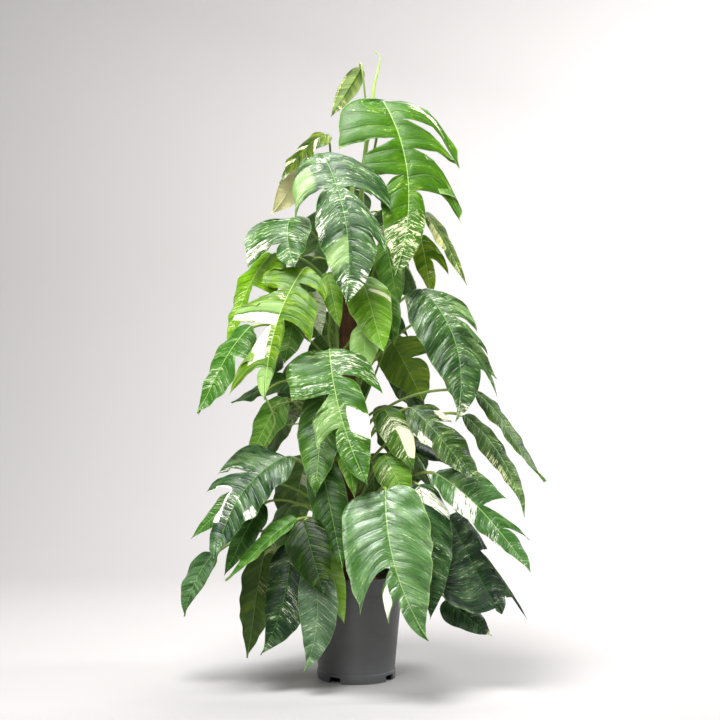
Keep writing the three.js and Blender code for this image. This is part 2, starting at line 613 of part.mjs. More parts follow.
// The entry of a leaf at the back, worked out from its ring's height and its turn.
function backLeaf(height, turn, number) {
  const low = (BACK_TOP - height) / BACK_TOP;
  const radius = mix(...BACK_BASE_RADIUS, low);
  const length = mix(...BACK_LENGTH, low) * (1 + 0.08 * Math.sin(5 * number));
  const width = length * BACK_WIDTH;
  const yaw = BACK_YAW * Math.sin(3 * number);
  const sideways = (degrees) => V(Math.sin(radians(degrees)), -Math.cos(radians(degrees)), 0);
  const base = sideways(turn).multiplyScalar(radius).add(V(POLE_X, 0, height));
  const tip = base.clone().addScaledVector(sideways(turn + yaw), BACK_OUT * length)
    .add(V(0, 0, -BACK_DOWN * length));
  const isSide = turn < SIDE_TURNS[0] || turn > SIDE_TURNS[1];
  return {
    name: `leaf_back_${number}`,
    vine: isSide ? (turn < 180 ? "right" : "left") : "back",
    grown: !isSide,
    from: height - BACK_FALL * radius,
    base: base.toArray(),
    tip: tip.toArray(),
    half: [width, width],
    face: [turn + yaw / 2, BACK_TILT],
    lift: 0.12,
    left: number % 3 === 1 ? [[0.34, width, 0.42 * length, 0.9]] : [],
    right: number % 6 === 2 ? [[0.3, width, 0.4 * length, 0.8]] : [],
  };
}

function backLeaves() {
  return BACK_RINGS.flatMap(([height, turns]) => turns.map((turn) => [height, turn]))
    .map(([height, turn], i) => backLeaf(height, turn, i + 1));
}

// A vine with the leaves that have grown with it.
function leafyVine(name, leaves) {
  return leaves.filter((leaf) => leaf.grown && leaf.vine === name)
    .reduce((solid, leaf) => solid.add(leafSolid(leaf)), stemSolid(name));
}

const root = new THREE.Group();
root.add(piece("pot", "pot", potSolid()));
root.add(piece("potting_mix", "soil", soilSolid()));
root.add(piece("coir_pole", "coir", poleSolid()));
root.add(piece("new_shoot", "shoot", shootSolid()));
const leaves = [...LEAVES, ...backLeaves()];
for (const name of Object.keys(VINES)) {
  root.add(piece(`vine_${name}`, "stem", leafyVine(name, leaves)));
}
for (const leaf of leaves.filter((entry) => !entry.grown)) {
  root.add(piece(leaf.name, "leaf", leafSolid(leaf)));
}

export default root;
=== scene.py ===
import math
import random

import bmesh
import bpy
from bpy.props import FloatProperty, FloatVectorProperty, PointerProperty
from bpy.types import Operator, Panel, PropertyGroup
from mathutils import Matrix, Quaternion, Vector, noise


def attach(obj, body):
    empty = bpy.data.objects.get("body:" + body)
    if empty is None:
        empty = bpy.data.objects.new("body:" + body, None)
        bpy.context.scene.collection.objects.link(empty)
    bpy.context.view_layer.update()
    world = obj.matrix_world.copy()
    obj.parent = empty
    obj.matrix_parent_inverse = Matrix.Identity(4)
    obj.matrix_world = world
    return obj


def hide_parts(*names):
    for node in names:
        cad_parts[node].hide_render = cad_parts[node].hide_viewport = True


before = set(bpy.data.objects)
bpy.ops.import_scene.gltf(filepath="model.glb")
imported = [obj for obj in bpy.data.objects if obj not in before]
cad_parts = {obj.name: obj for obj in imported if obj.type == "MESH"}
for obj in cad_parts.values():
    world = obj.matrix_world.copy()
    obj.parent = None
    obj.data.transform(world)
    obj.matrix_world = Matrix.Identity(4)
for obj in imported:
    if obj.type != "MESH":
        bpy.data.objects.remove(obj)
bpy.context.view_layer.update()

bl_info = {
    "name": "Potted variegated epipremnum pinnatum",
    "version": (1, 0, 0),
    "blender": (4, 5, 0),
    "location": "3D View > Sidebar > Plant",
    "description": "Builds a climbing aroid with marbled, partly split leaves in its pot",
    "category": "Object",
}

MM = 0.001

# The plant's layout in millimetres, as its solids have it.
MIX_TOP = 203
POLE_X = -16
POLE_RADIUS = 22
POLE_FOOT = 60
POLE_TOP = 1040
STEM_FOOT = 120
OFF_POLE = 29.5
WANDER_HEIGHT = 190
LEAN_HEIGHT = 200

# The side of the pole that each vine is on, how far it strays from it and where, its top, and
# how its free end leans.
VINES = {
    "left": (-78, 12, 0.4, 1120, (10, -4)),
    "right": (52, 14, 2.1, 1255, (22, 8)),
    "back": (172, 14, 4.0, 1105, (6, 0)),
}
# The new shoot's way above the right vine.
SHOOT = ((40, -4, 1300), (49, -5, 1336), (51, -6, 1362), (38, -8, 1374))

# Loose roots and thin stems that show between the leaves: how thick and how brown each is, and
# its points in millimetres.
LOOSE = (
    (2.2, 0.2, ((-120, -42, 655), (-170, -90, 640), (-193, -110, 618), (-184, -112, 595),
                (-172, -110, 561), (-181, -112, 536), (-195, -112, 508))),
    (1.8, 0.15, ((-60, -30, 560), (-120, -50, 600), (-158, -70, 598), (-181, -72, 588),
                 (-177, -70, 578), (-151, -66, 575))),
    (1.8, 0.2, ((-50, -24, 530), (-95, -45, 552), (-140, -60, 553), (-180, -62, 547))),
    (1.6, 1.0, ((-48, -16, 556), (-85, -40, 562), (-118, -50, 568), (-150, -52, 580))),
    (3.2, 0.5, ((-47, -12, 690), (-60, -36, 740), (-58, -42, 790), (-68, -44, 850))),
    (3.0, 0.4, ((-40, -24, 690), (-41, -40, 740), (-46, -46, 800), (-38, -52, 860))),
    (2.6, 0.6, ((-44, -18, 700), (-22, -44, 722), (-6, -50, 745), (6, -52, 770))),
    (3.0, 0.3, ((-44, -8, 985), (-62, -40, 1030), (-56, -52, 1080), (-44, -60, 1130))),
    (2.8, 0.3, ((-36, -12, 990), (-40, -40, 1040), (-32, -46, 1085), (-22, -44, 1135))),
)

# What a blade has when its entry doesn't say: how far it arches, how far its halves fold up and
# droop, how far its base reaches back, and the web beside the rib that slits stop at.
LIFT = 0.1
FOLD = 0.16
DROOP = 0.26
HEART = 0.3
WEB = 11

# The stalk's way from its vine to its blade. Its start off the vine's middle line and its end
# in and under the rib are in millimetres, and how far it runs out, rises and comes back from
# behind are shares of the distance.
STALK_ROOT, STALK_INTO, STALK_UNDER = 3, 7, 1.6
STALK_RUN, STALK_RISE, STALK_BACK = 0.22, 0.4, 0.25

# One entry for each leaf: its name, the vine that bears it and the height that it starts at,
# the base and the tip of its blade, its half widths, the way it faces as a turn and a tilt, and
# what else it has by name. A lobe on either side is (end, reach, drop, broad, bow).
LEAVES = (
    ("crown", "right", 1215, (10, -12, 1334), (-56, -30, 1224), (20, 23), (165, 20),
     dict(lift=0.12, fold=0.35, droop=0.2, stalk=(0, 0.35))),
    ("top_split", "right", 1070, (58, -62, 1250), (80, -172, 863), (58, 36), (6, 20),
     dict(lift=0.08, curl=0.02, bend=0.13, droop=0.3, left=((0.235, 118, 116, 1),
     (0.45, 88, 80, 0.7)), right=((0.12, 146, 160, 0, 2.6), (0.3, 122, 108, 0.1),
     (0.54, 110, 178, 0.4, 3)))),
    ("upper_split", "left", 1010, (-72, -122, 1127), (-21, -226, 801), (62, 56), (-4, 20),
     dict(lift=0.08, curl=0.02, bend=0.1, droop=0.3, left=((0.26, 88, 142, 0.7, 3),),
     right=((0.27, 111, 160, 0.6), (0.53, 74, 160, 0.5)))),
    ("left_shoulder", "left", 1085, (-66, -68, 1178), (-165, -90, 1069), (46, 48), (-45, 45),
     dict(lift=0.15, curl=0.05)),
    ("left_tan", "left", 1035, (-112, -12, 1105), (-184, -35, 1010), (34, 34), (-150, 20), {}),
    ("left_marbled", "left", 900, (-141, -100, 992), (-127, -165, 882), (30, 52), (-20, 40),
     dict(lift=0.15, bend=-0.08, left=((0.5, 98, 98, 1),))),
    ("lime_split", "left", 800, (-109, -135, 883), (-185, -222, 606), (18, 22), (-10, 22),
     dict(lift=0.08, bend=-0.09, left=((0.2, 72, 54, 0.5), (0.47, 97, 87, 0.45),
     (0.78, 56, 170, 0.5, 1.6)), right=((0.13, 72, 69, 0.4), (0.42, 75, 122, 0.9)))),
    ("left_edge", "left", 840, (-183, -70, 920), (-279, -80, 717), (42, 22), (-48, 15),
     dict(bend=-0.05, right=((0.36, 84, 84, 1),))),
    ("left_tip", "left", 672, (-223, -105, 763), (-328, -150, 576), (36, 40), (-30, 25),
     dict(lift=0.08, bend=-0.05, right=((0.35, 40, 72, 0.8),))),
    ("left_dark", "left", 560, (-130, -2, 655), (-275, 4, 597), (42, 42), (-20, 60),
     dict(lift=0.12)),
    ("left_inner", "left", 706, (-132, -72, 780), (-154, -92, 682), (30, 30), (-10, 15),
     dict(grown=True)),
    ("centre_split", "left", 600, (-56, -150, 711), (23, -255, 436), (26, 56), (0, 22),
     dict(lift=0.08, curl=0.02, bend=-0.065, left=((0.33, 94, 92, 1), (0.58, 62, 107, 0.7)),
     right=((0.22, 84, 126, 0.8),))),
    ("centre_left", "left", 500, (-65, -128, 620), (-84, -212, 411), (50, 45), (-5, 20),
     dict(lift=0.08)),
    ("centre_tip", "left", 450, (-28, -140, 560), (-3, -222, 408), (26, 26), (5, 20),
     dict(lift=0.05, grown=True)),
    ("mid_bright", "right", 745, (12, -112, 862), (56, -188, 701), (46, 46), (5, 25), {}),
    ("mid_grey", "right", 655, (20, -104, 765), (12, -172, 654), (32, 32), (0, 25), {}),
    ("inner_left", "left", 760, (-62, -92, 877), (-35, -125, 755), (22, 22), (0, 15),
     dict(grown=True)),
    ("inner_right", "right", 775, (71, -68, 843), (79, -100, 717), (22, 22), (20, 15),
     dict(grown=True)),
    ("right_olive", "right", 895, (138, -20, 965), (162, -48, 832), (28, 20), (20, 20),
     dict(right=((0.42, 50, 95, 0.4),), grown=True)),
    ("right_strip", "right", 932, (150, -45, 1012), (238, -72, 852), (22, 22), (35, 30), {}),
    ("right_big", "right", 700, (139, -100, 841), (204, -205, 565), (70, 40), (8, 22),
     dict(lift=0.08, bend=0.17, right=((0.25, 76, 120, 0.6), (0.4, 68, 99, 0.3),
     (0.53, 60, 148, 0.5)))),
    ("right_behind", "right", 640, (178, -42, 790), (300, -72, 650), (35, 35), (25, 25), {}),
    ("right_backlit", "right", 580, (78, 13, 735), (150, 27, 600), (46, 56), (172, 25),
     dict(left=((0.35, 104, 88, 0.4),))),
    ("right_mid", "right", 480, (114, -105, 590), (250, -190, 434), (38, 46), (12, 35),
     dict(right=((0.26, 48, 82, 0.8),))),
    ("cream", "right", 450, (61, -118, 584), (120, -158, 460), (34, 34), (5, 20), {}),
    ("low_centre", "right", 380, (60, -128, 489), (106, -176, 395), (38, 38), (5, 25), {}),
    ("right_narrow", "right", 520, (258, -60, 622), (399, -90, 430), (27, 27), (35, 45), {}),
    ("right_twisted", "right", 430, (228, -110, 574), (352, -140, 362), (28, 28), (30, 25),
     dict(lift=0.05, bend=0.13)),
    ("right_dark", "right", 410, (108, -62, 520), (228, -112, 458), (30, 28), (20, 62), {}),
    ("right_low", "right", 340, (165, -138, 453), (353, -215, 258), (40, 24), (15, 30),
     dict(bend=0.05, right=((0.42, 72, 138, 0.8), (0.64, 40, 118, 0.4)))),
    ("front_large", "right", 300, (60, -200, 423), (143, -300, 136), (20, 86), (2, 22),
     dict(lift=0.08, curl=0.02, bend=-0.11, left=((0.5, 98, 232, 1), (0.7, 42, 106, 0.8)))),
    ("front_right", "right", 320, (130, -150, 430), (149, -225, 163), (55, 52), (10, 18),
     dict(lift=0.08, bend=0.05)),
    ("right_bottom", "right", 260, (193, -100, 360), (300, -160, 163), (9, 44), (20, 20),
     dict(left=((0.93, 84, 168, 1, 1.9),), right=((0.42, 46, 100, 1),
     (0.58, 56, 168, 0.35, 1.6)), web=30, bend=-0.04)),
    ("right_foot", "right", 230, (190, -80, 180), (284, -120, 110), (36, 34), (15, 20), {}),
    ("left_low", "left", 370, (-149, -125, 487), (-285, -215, 272), (26, 58), (-20, 32),
     dict(bend=-0.17, web=24, left=((0.25, 108, 95, 0.8), (0.43, 84, 80, 0.6)), heart=0.5)),
    ("left_low_back", "left", 330, (-215, -72, 430), (-351, -100, 312), (30, 30), (-30, 30),
     dict(grown=True)),
    ("left_far", "left", 274, (-305, -75, 276), (-364, -108, 150), (36, 24), (-25, 15),
     dict(lift=0.08, bend=-0.08)),
    ("left_folded", "left", 290, (-125, -150, 360), (-266, -190, 235), (26, 26), (-30, 55),
     dict(lift=0.08, fold=0.5)),
    ("left_shade", "left", 310, (-200, -90, 385), (-278, -122, 237), (30, 30), (-20, 20),
     dict(lift=0.08, grown=True)),
    ("front_left", "left", 258, (-109, -170, 357), (-64, -225, 211), (50, 42), (-8, 22), {}),
    ("left_bottom_olive", "left", 213, (-197, -52, 278), (-231, -82, 56), (42, 42), (-155, 10),
     dict(lift=0.08)),
    ("left_bottom", "left", 236, (-138, -118, 298), (-196, -165, 80), (42, 66), (-10, 15),
     dict(lift=0.08, bend=0.1)),
    ("left_bottom_grey", "left", 225, (-90, -164, 258), (-108, -194, 50), (38, 44), (0, 12),
     dict(lift=0.08, bend=0.12)),
    ("pot_front", "left", 248, (-58, -125, 282), (-25, -142, 140), (27, 22), (0, 12),
     dict(lift=0.05)),
    ("low_dark", "left", 400, (-75, -135, 479), (-27, -185, 257), (40, 40), (0, 18),
     dict(lift=0.08)),
    ("mid_behind", "right", 800, (62, -55, 945), (90, -68, 802), (34, 34), (15, 20),
     dict(grown=True)),
    ("left_behind", "left", 470, (-160, -50, 610), (-232, -78, 470), (36, 36), (-25, 20),
     dict(grown=True)),
    ("inner_cream", "left", 730, (-96, -44, 838), (-76, -50, 745), (24, 24), (165, 16),
     dict(stalk=(0.1, 0.2), grown=True)),
)

# The rings of leaves round the back: height, and the turn of each leaf.
BACK_RINGS = (
    (1130, (180,)), (1030, (128, 212)), (925, (108, 168, 236)), (810, (140, 196, 245)),
    (700, (128, 180, 232)), (590, (132, 192, 250)), (480, (104, 160, 220)),
    (370, (130, 188, 238)),
)
# How far their bases stand off the pole and how long they are, from the plant's top down to
# its foot. Shares of the length say how wide they are and how far their tips are out and down.
# A share of the base's distance says how far below it the stalk starts.
BACK_TOP = 1200
BACK_BASE_RADIUS, BACK_LENGTH = (70, 190), (165, 235)
BACK_WIDTH, BACK_OUT, BACK_DOWN, BACK_FALL = 0.33, 0.45, 0.9, 0.62
# How far they turn to either side and tilt, in degrees. A leaf turned less or more than
# SIDE_TURNS grows on a side vine and is a piece of its own.
BACK_YAW, BACK_TILT = 18, 28
SIDE_TURNS = (115, 240)

# How each leaf is coloured: its green from dark 0 to lime 1, how much grey green is washed
# over it, how many pale flecks it has, how warm its pale parts are from white 0 over cream 0.5
# to tan 1, its tint from olive -1 to blue green 1, how much it swells between its side veins,
# and its pale sectors. A sector is (side, from, to, strength), where side is -1, 1 or 0 for
# both, and a strength below 0 makes it grey green. Two more numbers say how far out from the
# rib it starts and ends, as shares of the blade's half.
LOOKS = {
    "crown": (0.12, 0.4, 0.2, 0.5, -0.7, 0.6, (
        (-1, 0.55, 1.1, 0.5), (1, 0.1, 0.9, 0.5, 0.75, 2))),
    "top_split": (0.42, 0.02, 0.28, 0.3, -0.5, 0.8, (
        (-1, 0.0, 0.1, 0.38), (-1, 0.66, 1, 0.5), (1, 0.6, 1, 0.46),
        (1, 0.0, 0.06, 0.6, 0.2, 0.9))),
    "upper_split": (0.2, 0.18, 0.46, 0.05, 0.2, 1.1, (
        (-1, 0.02, 0.12, 0.5, -1, 0.5), (-1, 0.08, 0.25, -0.7, 0.35, 2),
        (-1, 0.28, 0.52, 0.5, 0.6, 2), (-1, 0.58, 0.76, -0.7), (-1, 0.8, 1.1, 0.48),
        (1, 0.74, 1, 0.5, 0.5, 2), (1, 0.27, 0.42, 0.4))),
    "left_shoulder": (0.14, 0.2, 0.2, 0.3, -1, 1, (
        (-1, 0.28, 0.4, 0.6), (-1, 0.55, 0.66, 0.6), (1, 0.1, 0.2, 0.6), (0, 0.8, 1.1, 0.55))),
    "left_tan": (0.64, 0.2, 0.1, 1, 0, 0.5, ((0, -1, 2, 1),)),
    "left_marbled": (0.26, 0.2, 0.5, 0.05, 0, 1, (
        (-1, 0.3, 0.5, 0.55, 0.25, 2), (-1, 0.0, 0.07, 0.5), (1, 0.3, 0.5, 0.44),
        (1, 0.8, 1.1, 0.5))),
    "lime_split": (0.55, 0.08, 0.08, 0.25, -0.8, 0.6, (
        (-1, 0.29, 0.38, -0.9), (-1, 0.38, 0.47, 0.98), (-1, 0.2, 0.3, 0.42),
        (-1, 0.47, 0.72, 0.98, 0, 0.6), (0, 0.78, 1.1, -0.95))),
    "left_edge": (0.74, 0.12, 0.34, 0.4, -0.12, 0.6, ((-1, 0.3, 0.9, 0.42),)),
    "left_tip": (0.46, 0.2, 0.42, 0.2, 0.2, 1, ((-1, 0.5, 0.75, 0.46),)),
    # left_dark's dark green is partly painted shade that the leaf sits in.
    "left_dark": (0.16, 0.1, 0.12, 0.3, -0.2, 1, ()),
    "left_inner": (0.56, 0.3, 0.4, 0.2, 0, 1, ()),
    "centre_split": (0.4, 0.12, 0.46, 0.15, -0.12, 0.9, (
        (1, 0.43, 0.63, 1, 0.05, 2), (-1, 0.34, 0.6, -0.5), (-1, 0.6, 0.72, 0.44, -1, 0.5),
        (1, 0.0, 0.22, 0.46), (-1, 0.22, 0.33, 0.44))),
    "centre_left": (0.34, 0.22, 0.34, 0.2, -0.1, 1.2, ((0, 0.6, 1, 0.34),)),
    "centre_tip": (0.6, 0.2, 0.3, 0.3, 0, 1, ()),
    "mid_bright": (0.7, 0.15, 0.32, 0.3, 0.05, 0.9, (
        (1, 0.12, 0.19, 0.8, 0.1, 2), (-1, 0.4, 0.6, 0.4))),
    "mid_grey": (0.84, 0.6, 0.3, 0.2, 0.2, 1, ()),
    "inner_left": (0.66, 0.2, 0.3, 0.3, -0.2, 1, ()),
    "inner_right": (0.52, 0.2, 0.3, 0.3, 0.2, 1, ()),
    # right_olive's olive tint and light green are painted light passing through the blade from
    # behind.
    "right_olive": (0.6, 0.15, 0.2, 0.5, -0.8, 0.7, ((1, 0.5, 0.8, 0.42),)),
    "right_strip": (0.36, 0.3, 0.4, 0.5, -0.8, 1, (
        (-1, 0.1, 0.5, 0.62, 0.3, 2), (-1, 0.7, 0.9, 0.5))),
    "right_big": (0.18, 0.22, 0.44, 0.15, 0.1, 1.2, (
        (1, 0.06, 0.2, -0.5, 0.4, 2), (1, 0.5, 0.6, 0.4), (-1, 0.86, 1, 0.56), (1, 0.85, 1, 0.5))),
    "right_behind": (0.2, 0.3, 0.3, 0.3, -0.3, 1, ()),
    # right_backlit's olive tint and light green are painted light passing through the blade from
    # behind.
    "right_backlit": (0.6, 0.05, 0.16, 0.5, -1, 0.6, ((-1, 0.4, 0.8, 0.36),)),
    "right_mid": (0.16, 0.12, 0.36, 0.2, -0.5, 1.2, (
        (-1, 0.16, 0.4, 0.6, 0.6, 2), (1, 0.1, 0.26, 0.7, 0.55, 2), (-1, 0.66, 0.8, 0.42))),
    "cream": (0.32, 0.1, 0.38, 0.3, -0.5, 0.8, (
        (0, 0.1, 0.36, 0.52), (1, 0.28, 0.8, 0.86, 0.05, 2), (-1, 0.5, 0.8, 0.44))),
    "low_centre": (0.56, 0.25, 0.36, 0.4, -0.3, 0.8, ((-1, 0.1, 0.4, 0.46),)),
    "right_narrow": (0.26, 0.2, 0.3, 0.4, -0.4, 1, ((-1, 0.2, 0.9, 0.4, 0.7, 2),)),
    "right_twisted": (0.2, 0.3, 0.4, 0.4, -0.1, 1, ((-1, 0.3, 0.7, 0.5, 0.5, 2),)),
    "right_dark": (0, 0.1, 0.15, 0.2, 0.2, 1, ((-1, 0.4, 0.8, 0.36),)),
    "right_low": (0.4, 0.2, 0.42, 0.05, 0.5, 1.2, (
        (-1, 0.16, 0.42, 0.6), (-1, 0.5, 0.66, 0.46), (1, 0.1, 0.2, -0.5))),
    # front_large's grey green wash, the grey green over its right half and its blue green tint are
    # partly painted sheen that pales its whole face, partly its own grey green marbling.
    "front_large": (0.5, 0.3, 0.34, 0.1, 0.5, 2, (
        (1, 0.1, 0.95, -0.2), (-1, 0.56, 0.7, 0.8, 0.5, 2), (0, 0.72, 0.8, 0.42))),
    "front_right": (0.16, 0.2, 0.36, 0.1, 0.3, 1, ((0, 0.0, 0.16, 0.62), (1, 0.4, 0.5, 0.4))),
    "right_bottom": (0, 0.16, 0.34, 0.2, 0.3, 1.3, ((1, 0.3, 0.42, 0.34),)),
    "right_foot": (0.12, 0.1, 0.3, 0.7, 0.4, 1.2, ((0, 0.88, 1.1, 0.7),)),
    "left_low": (0.16, 0.24, 0.34, 0.05, 0.35, 1.2, (
        (-1, 0.42, 0.7, 1.25, 0.02, 2), (1, 0.36, 0.5, 0.62, 0.6, 2), (-1, 0.05, 0.24, -0.3),
        (-1, 0.2, 0.27, 0.5))),
    "left_low_back": (0.44, 0.3, 0.4, 0.1, 0.2, 1, ((-1, 0.3, 0.5, 0.44),)),
    "left_far": (0.24, 0.3, 0.32, 0.2, 0.4, 1.1, ()),
    "left_folded": (0.4, 0.2, 0.26, 0.3, 0, 0.8, ()),
    "left_shade": (0.26, 0.1, 0.2, 0.2, 0.2, 1, ()),
    # front_left's very dark green is partly its own and partly painted shadow of the leaves above
    # it.
    "front_left": (-0.02, 0, 0.12, 0.3, -0.7, 0.5, ((0, -0.1, 0.1, 0.34),)),
    # left_bottom_olive's olive tint is painted light passing through the blade from behind.
    "left_bottom_olive": (0.16, 0.1, 0.22, 0.6, -1, 0.6, ((-1, 0.2, 0.4, 0.44),)),
    # left_bottom's dark green is partly painted shadow of the leaves above it.
    "left_bottom": (0.02, 0.16, 0.38, 0.1, 0.1, 1, ((1, 0.3, 0.6, 0.42),)),
    "left_bottom_grey": (0.26, 0.45, 0.46, 0.1, 0.5, 1.2, ()),
    # pot_front's bright lime green is partly painted light: it is paler than the leaf's own colour
    # to make up for the shade it sits in.
    "pot_front": (0.9, 0.3, 0.3, 0.2, 0.6, 1, ()),
    "low_dark": (0.26, 0.12, 0.3, 0.2, 0, 1.2, ()),
    "mid_behind": (0.56, 0.3, 0.3, 0.3, 0, 1, ()),
    "left_behind": (0.56, 0.3, 0.3, 0.3, 0, 1, ()),
    "inner_cream": (0.6, 0.4, 0.2, 0.15, 0, 0.6, ((0, -1, 2, 0.6),)),
}


class PotSettings(PropertyGroup):
    height: FloatProperty(name="Height", description="From the ground to the rim",
                          default=0.225, unit="LENGTH", subtype="DISTANCE")
    rim_radius: FloatProperty(name="Rim radius", description="Outside of the rim",
                              default=0.105, unit="LENGTH", subtype="DISTANCE")
    rim_band: FloatProperty(name="Rim band", description="Depth of the band under the rim",
                            default=0.038, unit="LENGTH", subtype="DISTANCE")
    foot_radius: FloatProperty(name="Foot radius", description="Outside of the foot ring",
                               default=0.085, unit="LENGTH", subtype="DISTANCE")
    foot_height: FloatProperty(name="Foot height", description="Height of the foot band",
                               default=0.019, unit="LENGTH", subtype="DISTANCE")
    wall: FloatProperty(name="Wall", description="Thickness of the plastic",
                        default=0.0024, unit="LENGTH", subtype="DISTANCE")
    plastic: FloatVectorProperty(name="Plastic", description="Colour of the moulded plastic",
                                 default=(0.062, 0.061, 0.061), subtype="COLOR")
    dust: FloatVectorProperty(name="Dust", description="Colour of the dusty, scuffed plastic",
                              default=(0.12, 0.125, 0.13), subtype="COLOR")


class MixSettings(PropertyGroup):
    chip: FloatProperty(name="Chip", description="Half length of a bark chip",
                        default=0.0062, unit="LENGTH", subtype="DISTANCE")
    density: FloatProperty(name="Chip density", description="Chips on a square metre",
                           default=16000)
    dark: FloatVectorProperty(name="Peat", description="Colour between the chips",
                              default=(0.018, 0.011, 0.007), subtype="COLOR")
    light: FloatVectorProperty(name="Bark", description="Colour of the lighter bark",
                               default=(0.16, 0.075, 0.035), subtype="COLOR")


class PoleSettings(PropertyGroup):
    core: FloatProperty(name="Core radius", description="Pole under its loose fibres",
                        default=0.0208, unit="LENGTH", subtype="DISTANCE")
    fibre: FloatProperty(name="Fibre length", description="Length of a loose fibre",
                         default=0.03, unit="LENGTH", subtype="DISTANCE")
    density: FloatProperty(name="Fibre density", description="Fibres on a square metre",
                           default=24000)
    coir: FloatVectorProperty(name="Coir", description="Colour of the light fibres",
                              default=(0.24, 0.105, 0.045), subtype="COLOR")
    shade: FloatVectorProperty(name="Coir shade", description="Colour of the dark fibres",
                               default=(0.045, 0.018, 0.01), subtype="COLOR")


class StemSettings(PropertyGroup):
    radius: FloatProperty(name="Stem radius", description="Radius of a vine between joints",
                          default=0.0062, unit="LENGTH", subtype="DISTANCE")
    stalk: FloatProperty(name="Stalk radius", description="Radius of a leaf stalk",
                         default=0.0034, unit="LENGTH", subtype="DISTANCE")
    root: FloatProperty(name="Root radius", description="Radius of an aerial root",
                        default=0.0015, unit="LENGTH", subtype="DISTANCE")
    joint: FloatProperty(name="Joint spacing", description="Stem from one joint to the next",
                         default=0.052, unit="LENGTH", subtype="DISTANCE")
    green: FloatVectorProperty(name="Green", description="Colour of young stems and stalks",
                               default=(0.16, 0.27, 0.04), subtype="COLOR")
    pale: FloatVectorProperty(name="Pale", description="Colour of the stalk beside a blade",
                              default=(0.36, 0.45, 0.1), subtype="COLOR")
    bark: FloatVectorProperty(name="Bark", description="Colour of old, corky stems and roots",
                              default=(0.13, 0.075, 0.035), subtype="COLOR")


class BladeSettings(PropertyGroup):
    thickness: FloatProperty(name="Thickness", description="Blade beside its rib",
                             default=0.0009, unit="LENGTH", subtype="DISTANCE")
    rib_depth: FloatProperty(name="Rib depth", description="Ridge of the rib below the blade",
                             default=0.003, unit="LENGTH", subtype="DISTANCE")
    rib_width: FloatProperty(name="Rib width", description="Half width of the rib at the base",
                             default=0.0018, unit="LENGTH", subtype="DISTANCE")
    swell: FloatProperty(name="Swell", description="Rise of the blade between side veins",
                         default=0.0022, unit="LENGTH", subtype="DISTANCE")
    wave: FloatProperty(name="Wave", description="Wave of the margin",
                        default=0.0045, unit="LENGTH", subtype="DISTANCE")
    step: FloatProperty(name="Step", description="Distance between rows of the mesh",
                        default=0.005, unit="LENGTH", subtype="DISTANCE")
    dark: FloatVectorProperty(name="Dark green", description="The darkest leaves",
                              default=(0.005, 0.022, 0.004), subtype="COLOR")
    green: FloatVectorProperty(name="Green", description="Leaves in the middle of the range",
                               default=(0.036, 0.14, 0.004), subtype="COLOR")
    lime: FloatVectorProperty(name="Lime", description="The yellowest leaves",
                              default=(0.22, 0.46, 0.008), subtype="COLOR")
    # Washed over front_large this colour is partly painted sheen.
    marble: FloatVectorProperty(name="Marbling", description="Grey green streaks",
                                default=(0.26, 0.42, 0.13), subtype="COLOR")
    white: FloatVectorProperty(name="White", description="Whitest sectors",
                               default=(0.82, 0.84, 0.74), subtype="COLOR")
    cream: FloatVectorProperty(name="Cream", description="Cream sectors",
                               default=(0.74, 0.76, 0.34), subtype="COLOR")
    tan: FloatVectorProperty(name="Tan", description="Tan parts of old leaves",
                             default=(0.72, 0.64, 0.34), subtype="COLOR")
    rib: FloatVectorProperty(name="Rib", description="Rib and margin",
                             default=(0.4, 0.55, 0.14), subtype="COLOR")
    # On the leaves lit from behind this olive tint is painted light through the blade; on the
    # others it is their own olive colour.
    olive: FloatVectorProperty(name="Olive tint", description="What an olive leaf's green is "
                               "multiplied by", default=(1.4, 0.95, 0.12), subtype="COLOR",
                               max=4)
    # On front_large this tint is partly painted sheen.
    cool: FloatVectorProperty(name="Blue green tint", description="What a blue green leaf's "
                              "green is multiplied by", default=(1.1, 0.95, 3.2),
                              subtype="COLOR", max=4)


class StageSettings(PropertyGroup):
    pale: FloatVectorProperty(name="Floor", description="Colour of the floor and backdrop",
                              default=(0.4, 0.388, 0.384), subtype="COLOR")
    sky: FloatVectorProperty(name="Even light", description="Colour of the light all round",
                             default=(0.93, 0.95, 1.0), subtype="COLOR")
    sky_strength: FloatProperty(name="Even light strength", description="Strength of the "
                                "light all round", default=0.035)
    seen: FloatProperty(name="Far brightness", description="How bright the far floor and all "
                        "that lies past it look", default=1.5)
    key: FloatProperty(name="Key light", description="Power of the lamp high at the front left",
                       default=180, unit="POWER")
    fill: FloatProperty(name="Fill light", description="Power of the lamp at the right",
                        default=12, unit="POWER")
    front: FloatProperty(name="Front light", description="Power of the lamp that gives the "
                         "lower leaves their sheen", default=38, unit="POWER")
    top: FloatProperty(name="Top light", description="Power of the lamp above the back",
                       default=55, unit="POWER")
    back: FloatProperty(name="Backdrop light", description="Power of the lamp that lights the "
                        "backdrop's right", default=120, unit="POWER")
    lens: FloatProperty(name="Lens", description="Focal length", default=64.4,
                        unit="CAMERA", subtype="DISTANCE_CAMERA")


class PlantSettings(PropertyGroup):
    pot: PointerProperty(type=PotSettings, name="Pot")
    mix: PointerProperty(type=MixSettings, name="Potting mix")
    pole: PointerProperty(type=PoleSettings, name="Coir pole")
    stem: PointerProperty(type=StemSettings, name="Stems")
    blade: PointerProperty(type=BladeSettings, name="Blades")
    stage: PointerProperty(type=StageSettings, name="Stage")


